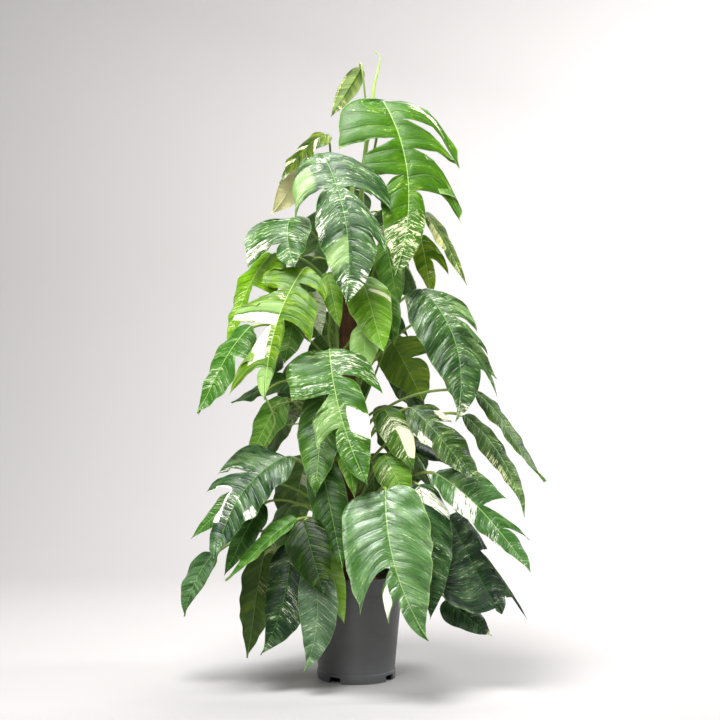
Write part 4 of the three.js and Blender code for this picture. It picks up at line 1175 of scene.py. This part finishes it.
def studio_world(stage):
    """Weak even light from all round. To the camera it looks as pale as the floor."""
    world = bpy.data.worlds.new("studio")
    world.use_nodes = True
    nodes = Nodes(world.node_tree)
    light, seen = (nodes.add("ShaderNodeBackground", {"Color": paint(colour), "Strength": power})
                   for colour, power in ((stage.sky, stage.sky_strength),
                                         (stage.pale, stage.seen)))
    path = nodes.add("ShaderNodeLightPath", out="Is Camera Ray")
    mixed = nodes.add("ShaderNodeMixShader", {0: path, 1: light, 2: seen})
    nodes.node("ShaderNodeOutputWorld", {"Surface": mixed})
    return world


# The pot underneath, in metres: its raised floor, the pad in its middle and the ring it stands
# on. Notches cut the foot, the first of them at a turn in degrees, and a ring of holes drains it.
POT_SIDES = 128
FLOOR_RAISE, CENTRE_PAD, PAD_SLOPE, FOOT_RING = 0.011, 0.044, 0.008, 0.0035
NOTCHES, NOTCH_TURN, NOTCH_OUT = 4, -33, 0.085
NOTCH_SIZE, NOTCH_CORNER = (0.028, 0.027, 0.026), 0.003
DRAIN_HOLES, DRAIN_RADIUS, DRAIN_RING = 8, 0.006, 0.066
SHARP_POT = 30


def pot_profile(pot):
    """Half the pot's section, from its underside's middle round to its inside's middle."""
    body_top = pot.height - pot.rim_band
    under_rim = pot.rim_radius - 0.004
    wall, foot, lip = pot.wall, pot.foot_radius, 0.0014
    return (
        (0, 0), (CENTRE_PAD, 0), (CENTRE_PAD + PAD_SLOPE, FLOOR_RAISE),
        (foot - FOOT_RING - 0.002, FLOOR_RAISE), (foot - FOOT_RING, 0.0004),
        (foot - FOOT_RING + 0.0006, 0), (foot - 0.0006, 0), (foot, 0.0006),
        (foot + 0.001, pot.foot_height - 0.0016), (foot + 0.0007, pot.foot_height - 0.0006),
        (foot - 0.0006, pot.foot_height + 0.0006), (foot - 0.001, pot.foot_height + 0.002),
        (under_rim - 0.0018, body_top - 0.002), (under_rim - 0.0012, body_top),
        (under_rim + 0.0012, body_top + 0.0014), (under_rim + 0.0018, body_top + 0.0034),
        (pot.rim_radius - 0.0002, pot.height - 0.0034), (pot.rim_radius, pot.height - lip),
        (pot.rim_radius - 0.0005, pot.height - 0.0004), (pot.rim_radius - lip, pot.height),
        (pot.rim_radius - wall, pot.height - 0.0004),
        (under_rim + 0.0015 - wall, body_top + 0.004), (under_rim - 0.0015 - wall, body_top),
        (foot - 0.001 - wall, pot.foot_height + 0.002), (foot - 0.006, FLOOR_RAISE + wall),
        (CENTRE_PAD + PAD_SLOPE - 0.001, FLOOR_RAISE + wall), (CENTRE_PAD - 0.001, wall),
        (0, wall),
    )


def turned(name, profile, sides):
    """A closed solid of revolution whose profile starts and ends on the axis."""
    made = bmesh.new()
    rings = []
    for radius, height in profile:
        count = sides if radius > 0 else 1
        angles = (2 * math.pi * i / count for i in range(count))
        rings.append([made.verts.new((radius * math.cos(a), radius * math.sin(a), height))
                      for a in angles])
    for low, high in zip(rings, rings[1:]):
        for i in range(sides):
            corners = [low[i % len(low)], low[(i + 1) % len(low)],
                       high[(i + 1) % len(high)], high[i % len(high)]]
            made.faces.new(dict.fromkeys(corners))
    bmesh.ops.recalc_face_normals(made, faces=made.faces)
    piece = object_of(made, name)
    piece.data.shade_smooth()
    return piece


def notch_cutter(turn):
    """A block with rounded edges that cuts one notch out of the foot."""
    made = bmesh.new()
    bmesh.ops.create_cube(made, size=1)
    bmesh.ops.scale(made, vec=NOTCH_SIZE, verts=made.verts)
    level = [edge for edge in made.edges
             if abs(edge.verts[0].co.y - edge.verts[1].co.y) > NOTCH_CORNER]
    bmesh.ops.bevel(made, geom=level, offset=NOTCH_CORNER, segments=4, profile=0.5,
                    affect="EDGES")
    bmesh.ops.translate(made, vec=(0, -NOTCH_OUT, 0), verts=made.verts)
    bmesh.ops.rotate(made, cent=(0, 0, 0), verts=made.verts,
                     matrix=Quaternion((0, 0, 1), math.radians(turn)).to_matrix())
    return object_of(made, "notch")


def drain_cutter(number):
    """A round bar that cuts one drain hole through the floor."""
    made = bmesh.new()
    bmesh.ops.create_cone(made, cap_ends=True, segments=20, radius1=DRAIN_RADIUS,
                          radius2=DRAIN_RADIUS, depth=0.03)
    place = sideways(360 * (number + 0.5) / DRAIN_HOLES) * DRAIN_RING
    bmesh.ops.translate(made, vec=(place.x, place.y, FLOOR_RAISE), verts=made.verts)
    return object_of(made, "drain")


class PLANT_OT_pot(Operator):
    """Make the nursery pot with its rim band, foot, notches and drain holes"""
    bl_idname = "plant.pot"
    bl_label = "Pot"

    def execute(self, context):
        pot = context.scene.plant.pot
        body = shown(turned("pot_raw", pot_profile(pot), POT_SIDES))
        cutters = [notch_cutter(NOTCH_TURN + 360 * i / NOTCHES) for i in range(NOTCHES)]
        cutters += [drain_cutter(i) for i in range(DRAIN_HOLES)]
        for cutter in cutters:
            shown(cutter)
            cut = body.modifiers.new(cutter.name, "BOOLEAN")
            cut.operation, cut.solver, cut.object = "DIFFERENCE", "EXACT", cutter
        piece = settled(body, "pot_shell", pot_material(pot))
        for cutter in cutters:
            bpy.data.objects.remove(cutter)
        piece.data.set_sharp_from_angle(angle=math.radians(SHARP_POT))
        finish_piece(piece, "pot", "pot")
        return {"FINISHED"}


def strewn_tree(name, make_piece, turns, sizes, on_face=False):
    """Begins a tree that strews a piece over a surface. Each one is turned and sized by chance
    between the limits given, and follows the face under it where on_face says so."""
    tree, nodes, given = new_tree(name, ("Density", "Float"), ("Size", "Float"),
                                  ("Seed", "Int"), ("Material", "Material"))
    seed = given["Seed"]
    spread = nodes.node("GeometryNodeDistributePointsOnFaces", {
        "Mesh": given["Geometry"], "Density": given["Density"], "Seed": seed})
    turn = nodes.add("FunctionNodeRandomValue", {0: turns[0], 1: turns[1], "Seed": seed},
                     data_type="FLOAT_VECTOR")
    if on_face:
        turn = nodes.add("FunctionNodeRotateRotation", {
            "Rotation": spread.outputs["Rotation"], "Rotate By": turn}, rotation_space="LOCAL")
    size = nodes.add("FunctionNodeRandomValue", {2: sizes[0], 3: sizes[1], "Seed": seed},
                     out=1, data_type="FLOAT")
    placed = nodes.add("GeometryNodeInstanceOnPoints", {
        "Points": spread.outputs["Points"], "Instance": make_piece(nodes), "Rotation": turn,
        "Scale": nodes.maths("MULTIPLY", size, given["Size"])})
    return tree, nodes, given, placed


def chip_block(nodes):
    """One chip, two metres long before it is sized."""
    return nodes.add("GeometryNodeMeshCube", {
        "Size": (2.0, 1.1, 0.55), "Vertices X": 4, "Vertices Y": 3, "Vertices Z": 2})


def chips_tree():
    """Strews bark chips over a surface, each misshapen by chance."""
    tree, nodes, given, placed = strewn_tree(
        "bark_chips", chip_block, ((-0.7, -0.5, 0.0), (0.7, 0.5, 6.28)), (0.35, 1.15))
    loose = nodes.add("GeometryNodeRealizeInstances", {0: placed})
    place = nodes.add("GeometryNodeInputPosition")
    lumps = nodes.add("ShaderNodeTexNoise", {"Vector": place, "Scale": 210.0}, out=1)
    middle = nodes.add("ShaderNodeVectorMath", {0: lumps, 1: (0.5, 0.5, 0.5)},
                       operation="SUBTRACT")
    shift = nodes.add("ShaderNodeVectorMath", {0: middle, "Scale": 0.011}, operation="SCALE")
    lumpy = nodes.add("GeometryNodeSetPosition", {"Geometry": loose, "Offset": shift})
    end_tree(nodes, lumpy, given["Material"])
    return tree


# The field that the chips lie on, in metres: a low heap in rings that keeps off the pole.
CHIP_FIELD = 0.093
CHIP_LEVEL = 0.2035
CHIP_HEAP = 0.004
CHIP_RINGS = 8
CHIP_SIDES = 24
POLE_CLEAR = 0.026
CHIP_SEED = 4


class PLANT_OT_mix(Operator):
    """Give the potting mix its finish and strew bark chips over it"""
    bl_idname = "plant.mix"
    bl_label = "Potting mix"

    def execute(self, context):
        mix = context.scene.plant.mix
        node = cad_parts["potting_mix"]
        node.data.materials.clear()
        node.data.materials.append(mix_material(mix, "peat", chips=False))
        made = bmesh.new()
        rings = []
        for k in range(CHIP_RINGS + 1):
            share = k / CHIP_RINGS
            radius = lerp(CHIP_HEAP, CHIP_FIELD, share)
            top = Vector((0, 0, CHIP_LEVEL + CHIP_HEAP * (1 - share)))
            ring = [sideways(360 / CHIP_SIDES * i) * radius + top for i in range(CHIP_SIDES)]
            rings.append([made.verts.new(point) for point in ring])
        for low, high in zip(rings, rings[1:]):
            for i in range(CHIP_SIDES):
                corners = (low[i], low[i - 1], high[i - 1], high[i])
                middle = sum((v.co for v in corners), Vector()) / 4
                if (middle - Vector((POLE_X * MM, 0, middle.z))).length > POLE_CLEAR:
                    made.faces.new(corners)
        bmesh.ops.recalc_face_normals(made, faces=made.faces)
        host = shown(object_of(made, "chip_field"))
        grow_tree(host, chips_tree(), Density=mix.density, Size=mix.chip, Seed=CHIP_SEED,
                  Material=mix_material(mix, "bark", chips=True))
        finish_piece(settled(host, "bark_chips"), "potting_mix")
        return {"FINISHED"}


def bent_fibre(nodes):
    """One fibre, one metre long before it is sized."""
    bent = nodes.add("GeometryNodeCurveQuadraticBezier", {
        "Resolution": 5, "Start": (-0.5, 0.03, -0.16), "Middle": (0.0, -0.06, 0.24),
        "End": (0.5, 0.05, -0.16)})
    section = nodes.add("GeometryNodeCurvePrimitiveCircle", {"Resolution": 3,
                                                            "Radius": 0.011})
    return nodes.add("GeometryNodeCurveToMesh", {"Curve": bent, "Profile Curve": section,
                                                 "Fill Caps": True})


def fibres_tree():
    """Lays loose, bent fibres along a surface."""
    tree, nodes, given, placed = strewn_tree(
        "coir_fibres", bent_fibre, ((-0.12, -0.12, -0.9), (0.12, 0.12, 0.9)), (0.5, 1.25),
        on_face=True)
    end_tree(nodes, placed, given["Material"])
    return tree


# The pole's core in metres: its sides, the step between its rings, how far its top is worn
# round, and how rough it is.
POLE_SIDES = 48
POLE_STEP = 0.008
POLE_ROUND = 0.004
POLE_ROUGH = 0.035
FIBRE_SEED = 7


class PLANT_OT_pole(Operator):
    """Make the coir pole: a rough core wrapped in loose fibres"""
    bl_idname = "plant.pole"
    bl_label = "Coir pole"

    def execute(self, context):
        pole = context.scene.plant.pole
        coir = coir_material(pole)
        foot, top = POLE_FOOT * MM, POLE_TOP * MM
        count = round((top - foot) / POLE_STEP)
        profile = [(0, foot)]
        profile += [(pole.core, lerp(foot, top - POLE_ROUND, i / count))
                    for i in range(count + 1)]
        profile += [(pole.core * 0.92, top - 0.001), (pole.core * 0.6, top), (0, top)]
        core = turned("coir_core", profile, POLE_SIDES)
        for vertex in core.data.vertices:
            rough = noise.noise(vertex.co * 90) + 0.6 * noise.noise(vertex.co * 260)
            flat = Vector((vertex.co.x, vertex.co.y, 0))
            vertex.co += flat * (POLE_ROUGH * rough)
            vertex.co.x += POLE_X * MM
        core.data.materials.append(coir)
        finish_piece(core, "coir", "coir_pole")
        host = turned("fibre_host", [(0, MIX_TOP * MM), (pole.core, MIX_TOP * MM),
                                     (pole.core, top - POLE_ROUND), (0, top - 0.002)],
                      POLE_SIDES)
        host.data.transform(Matrix.Translation((POLE_X * MM, 0, 0)))
        grow_tree(shown(host), fibres_tree(), Density=pole.density, Size=pole.fibre,
                  Seed=FIBRE_SEED, Material=coir)
        finish_piece(settled(host, "coir_strands"), "coir", "coir_pole")
        return {"FINISHED"}


# A vine: the step along it in millimetres, its sides, how thick it is between joints, how much
# a joint adds and the ring at a joint takes off, how it thins towards its top, how long its
# closed tip is, and how old its skin is from its foot to its top and at joints.
STEM_STEP = 6
STEM_SIDES = 12
BETWEEN, AT_JOINT, JOINT_RING = 0.94, 0.24, 0.12
STEM_THINS = (1.04, 0.86)
STEM_TIP = 14
STEM_AGE, JOINT_AGE = (0.95, 0.3), 0.25
# Its roots: how many, their sides, how far each drifts round the pole in degrees, its length in
# millimetres and how it thins. A loose root thins too.
ROOTS = 9
ROOT_SIDES = 6
ROOT_STEPS = 12
ROOT_DRIFT = (-28, 28)
ROOT_LENGTH = (50, 130)
ROOT_THINS = (1.15, 0.45)
ROOT_SEED = 11
LOOSE_SIDES = 8
LOOSE_THINS = (1, 0.45)
# The new shoot: its sides, its radius in millimetres from foot to tip, how far it turns, and
# how its section winds out.
SHOOT_SIDES = 16
SHOOT_RADIUS = (4.4, 0.7)
SHOOT_TURN = 2.2
SHOOT_WOUND = (0.82, 0.28)
SHARP_SHOOT = 50


def outward(mesh):
    """Turns every face of a closed mesh outwards."""
    made = bmesh.new()
    made.from_mesh(mesh)
    bmesh.ops.recalc_face_normals(made, faces=made.faces)
    made.to_mesh(mesh)
    made.free()


def stem_path(vine, stem):
    """A vine's path, thicker at its joints, with a closed tip."""
    top = VINES[vine][3]
    count = round((top - STEM_FOOT) / STEM_STEP)
    gap = stem.joint / MM
    path = []
    for i in range(count + 1):
        height = lerp(STEM_FOOT, top, i / count)
        near = abs((height + 9 * VINES[vine][2]) / gap % 1 - 0.5) * 2
        joint = smooth(near, 0.72, 1)
        radius = stem.radius / MM * (BETWEEN + AT_JOINT * joint - JOINT_RING * (joint > 0.95))
        radius *= lerp(*STEM_THINS, i / count)
        if height > top - STEM_TIP and vine != "right":
            radius *= max(0.08, math.sqrt((top - height) / STEM_TIP))
        age = lerp(*STEM_AGE, i / count) + JOINT_AGE * joint
        path.append((stem_point(vine, height), radius, age))
    return path


def root_path(vine, height, stem, draw):
    """A root that clings to the pole below a joint."""
    start = stem_point(vine, height)
    turn = math.degrees(math.atan2(start.x - POLE_X, -start.y))
    drift, length = draw.uniform(*ROOT_DRIFT), draw.uniform(*ROOT_LENGTH)
    path = []
    for k in range(ROOT_STEPS + 1):
        share = k / ROOT_STEPS
        off = lerp(OFF_POLE, POLE_RADIUS + 0.6, smooth(share, 0, 0.3))
        spot = sideways(turn + drift * share + 6 * math.sin(7 * share)) * off
        spot += Vector((POLE_X, 0, max(MIX_TOP - 4, height - length * share)))
        path.append((spot, stem.root / MM * lerp(*ROOT_THINS, share), 1.1))
    return path


class PLANT_OT_stems(Operator):
    """Make the vines with their joints, the roots that hold them and the new shoot"""
    bl_idname = "plant.stems"
    bl_label = "Stems and roots"

    def execute(self, context):
        plant = context.scene.plant
        skin = stem_material(plant.stem)
        draw = random.Random(ROOT_SEED)
        for vine in VINES:
            path = stem_path(vine, plant.stem)
            finish_piece(swept_paths(f"stem_{vine}", [path], STEM_SIDES, skin), "stem",
                         f"vine_{vine}")
            heights = [draw.uniform(240, VINES[vine][3] - 140) for _ in range(ROOTS)]
            paths = [root_path(vine, height, plant.stem, draw) for height in heights]
            finish_piece(swept_paths(f"roots_{vine}", paths, ROOT_SIDES, skin), "stem")
        loose = []
        for radius, age, points in LOOSE:
            line = smooth_line([Vector(point) for point in points], 6)
            last = len(line) - 1
            loose.append([(spot, radius * lerp(*LOOSE_THINS, (i / last) ** 3), age)
                          for i, spot in enumerate(line)])
        finish_piece(swept_paths("roots_loose", loose, LOOSE_SIDES, skin), "stem")
        self.make_shoot(plant)
        return {"FINISHED"}

    def make_shoot(self, plant):
        """The rolled new leaf: its section winds in over itself and leaves a seam."""
        points = [stem_point("right", VINES["right"][3] - 2)]
        points += [Vector(point) for point in SHOOT]
        middles = smooth_line(points, 12)
        sides, rows = SHOOT_SIDES, []
        for i, middle in enumerate(middles):
            share = i / (len(middles) - 1)
            ahead = middles[min(i + 1, len(middles) - 1)] - middles[max(i - 1, 0)]
            across = ahead.cross(Vector((0, 1, 0))).normalized()
            up = across.cross(ahead).normalized()
            radius = lerp(*SHOOT_RADIUS, share ** 0.8)
            ring = []
            for k in range(sides):
                angle = 2 * math.pi * k / sides + SHOOT_TURN * share
                wound = radius * (SHOOT_WOUND[0] + SHOOT_WOUND[1] * k / (sides - 1))
                ring.append((middle + (across * math.cos(angle) + up * math.sin(angle))
                             * wound) * MM)
            rows.append(ring)
        last = (len(rows) - 1) * sides
        faces = []
        for low in range(0, last, sides):
            for k in range(sides):
                ahead = (k + 1) % sides
                faces.append((low + k, low + ahead, low + sides + ahead, low + sides + k))
        faces += [tuple(reversed(range(sides))), tuple(range(last, last + sides))]
        piece = mesh_object("rolled_shoot", [p for ring in rows for p in ring], faces)
        outward(piece.data)
        piece.data.materials.append(shoot_material(plant.blade))
        piece.data.set_sharp_from_angle(angle=math.radians(SHARP_SHOOT))
        finish_piece(piece, "shoot", "new_shoot")


# A stalk's steps and sides, how much thicker it is where it clasps its vine and at the knee
# behind its blade, how much of it goes into the rib, and how much of its radius a small leaf's
# stalk has, for lengths of blade in millimetres.
STALK_STEPS = 26
STALK_SIDES = 10
STALK_LEAST, CLASP, KNEE = 0.9, 0.45, 0.24
STALK_RIB = 0.55
SMALL_STALK, SMALL_LENGTHS = 0.72, (100, 260)
STALK_AGE = (0.62, 0.1)


def stalk_path(leaf, stem):
    """A leaf stalk: out of its vine, up and over, into the blade's base from behind. It is
    stout where it clasps the vine and again just behind the blade."""
    vine = stem_point(leaf.vine, leaf.start)
    away = Vector((vine.x - POLE_X, vine.y, 0)).normalized()
    aim = (leaf.base - vine).to_2d().to_3d().normalized()
    leave = (away * 0.8 + aim).normalized()
    start = vine + leave * STALK_ROOT
    reach = (leaf.base - start).length
    right, up = leaf.stalk
    end = leaf.base + leaf.down * STALK_INTO - leaf.out * STALK_UNDER
    bends = (start, start + leave * STALK_RUN * reach + Vector((0, 0, STALK_RISE * reach)),
             leaf.base - leaf.out * STALK_BACK * reach + leaf.side * right * reach
             + Vector((0, 0, up * reach)), end)
    path = []
    for i in range(STALK_STEPS + 1):
        t = i / STALK_STEPS
        u = 1 - t
        spot = (bends[0] * u ** 3 + bends[1] * 3 * t * u * u + bends[2] * 3 * t * t * u
                + bends[3] * t ** 3)
        radius = stem.stalk / MM * (STALK_LEAST + CLASP * (1 - smooth(t, 0, 0.22)))
        radius *= 1 + KNEE * smooth(t, 0.8, 0.88) * (1 - smooth(t, 0.9, 0.97))
        radius *= lerp(1, STALK_RIB, smooth(t, 0.93, 1))
        radius *= lerp(SMALL_STALK, 1, smooth(leaf.length, *SMALL_LENGTHS))
        age = lerp(*STALK_AGE, smooth(t, 0, 0.9))
        path.append((spot, radius, age))
    return path


def replaced_by(leaf):
    """The node that a leaf's pieces stand for: its own, or that of the vine it grew with."""
    return f"vine_{leaf.vine}" if leaf.grown else f"leaf_{leaf.name}"


class PLANT_OT_stalks(Operator):
    """Make every leaf's stalk, one piece for each vine"""
    bl_idname = "plant.stalks"
    bl_label = "Leaf stalks"

    def execute(self, context):
        stem = context.scene.plant.stem
        skin = bpy.data.materials["stem_skin"]
        leaves = all_leaves()
        for vine in VINES:
            borne = [leaf for leaf in leaves if leaf.vine == vine]
            paths = [stalk_path(leaf, stem) for leaf in borne]
            piece = swept_paths(f"stalks_{vine}", paths, STALK_SIDES, skin)
            finish_piece(piece, "stem", *sorted({replaced_by(leaf) for leaf in borne}))
        return {"FINISHED"}


class PLANT_OT_blades(Operator):
    """Make every blade with its lobes, veins and marbling"""
    bl_idname = "plant.blades"
    bl_label = "Leaf blades"

    def execute(self, context):
        blade = context.scene.plant.blade
        materials = (leaf_material("leaf_face", blade),
                     leaf_material("leaf_underside", blade, under=True))
        for leaf in all_leaves():
            piece = blade_piece(leaf, blade, materials)
            finish_piece(piece, "leaf", replaced_by(leaf))
        return {"FINISHED"}


# The camera's place in metres, and how far it looks up.
CAMERA_PLACE = (0.0077, -2.834, 0.633)
CAMERA_PITCH = math.atan(27 / 1288)
# Each lamp's place, what it aims at, and its size, in metres.
LAMPS = {
    "key": ((-0.6, -1.15, 3.2), (0, 0, 0.7), 1.6),
    "front": ((-0.5, -2.5, 1.8), (0, -0.2, 0.4), 1.3),
    "fill": ((2.4, -1.4, 1.5), (0, 0, 0.7), 1.4),
    "top": ((0.5, 0.9, 2.7), (0, 0, 0.8), 1.4),
    "back": ((2.2, 0.5, 1.6), (1.5, 2.4, 0.9), 1.2),
}
# The backdrop in metres: where its floor begins, where it starts to curve up and how widely,
# how high it goes, and half its width.
FLOOR_FRONT, CURVE_START, CURVE, BACKDROP_TOP, HALF_WIDTH = -6.0, 1.4, 1.2, 5.0, 7.0
CURVE_STEPS = 16


class PLANT_OT_stage(Operator):
    """Set up the pale floor and backdrop, the soft lamps and the camera"""
    bl_idname = "plant.stage"
    bl_label = "Stage"

    def execute(self, context):
        stage = context.scene.plant.stage
        scene = context.scene
        self.make_backdrop(stage)
        scene.world = studio_world(stage)
        scene.view_settings.view_transform = "Standard"
        for name, (place, aim, size) in LAMPS.items():
            self.make_lamp(name, place, aim, size, getattr(stage, name))
        camera = bpy.data.objects.new("camera", bpy.data.cameras.new("camera"))
        camera.data.lens = stage.lens
        camera.location = CAMERA_PLACE
        camera.rotation_euler = (math.pi / 2 + CAMERA_PITCH, 0, 0)
        scene.camera = shown(camera)
        return {"FINISHED"}

    def make_backdrop(self, stage):
        """The floor runs back and curves up behind the plant."""
        line = [(FLOOR_FRONT, 0.0), (CURVE_START, 0.0)]
        line += [(CURVE_START + CURVE * math.sin(a), CURVE - CURVE * math.cos(a))
                 for a in (math.pi / 2 * k / CURVE_STEPS for k in range(1, CURVE_STEPS + 1))]
        line += [(CURVE_START + CURVE, BACKDROP_TOP)]
        points = [(x, y, z) for y, z in line for x in (-HALF_WIDTH, HALF_WIDTH)]
        faces = [(2 * i, 2 * i + 1, 2 * i + 3, 2 * i + 2) for i in range(len(line) - 1)]
        backdrop = mesh_object("backdrop", points, faces)
        backdrop.data.materials.append(stage_material(stage))
        shown(backdrop)

    def make_lamp(self, name, place, aim, size, power):
        lamp = bpy.data.lights.new(name, "AREA")
        lamp.shape, lamp.size, lamp.energy = "DISK", size, power
        holder = bpy.data.objects.new(name, lamp)
        holder.location = place
        look = Vector(aim) - Vector(place)
        holder.rotation_euler = look.to_track_quat("-Z", "Y").to_euler()
        holder.visible_camera = False  # a lamp before the camera would hide the plant
        shown(holder)


OPERATORS = (PLANT_OT_pot, PLANT_OT_mix, PLANT_OT_pole, PLANT_OT_stems, PLANT_OT_stalks,
             PLANT_OT_blades, PLANT_OT_stage)


class VIEW3D_PT_plant(Panel):
    """The plant's pieces, in the order that they are made"""
    bl_label = "Potted climbing aroid"
    bl_idname = "VIEW3D_PT_plant"
    bl_space_type = "VIEW_3D"
    bl_region_type = "UI"
    bl_category = "Plant"

    def draw(self, context):
        for operator in OPERATORS:
            self.layout.operator(operator.bl_idname)


CLASSES = (PotSettings, MixSettings, PoleSettings, StemSettings, BladeSettings,
           StageSettings, PlantSettings, *OPERATORS, VIEW3D_PT_plant)


def register():
    for each in CLASSES:
        bpy.utils.register_class(each)
    bpy.types.Scene.plant = PointerProperty(type=PlantSettings)


def unregister():
    del bpy.types.Scene.plant
    for each in reversed(CLASSES):
        bpy.utils.unregister_class(each)


def main():
    """Builds the plant."""
    register()
    for operator in OPERATORS:
        group, name = operator.bl_idname.split(".")
        getattr(getattr(bpy.ops, group), name)()


if __name__ == "__main__":
    main()
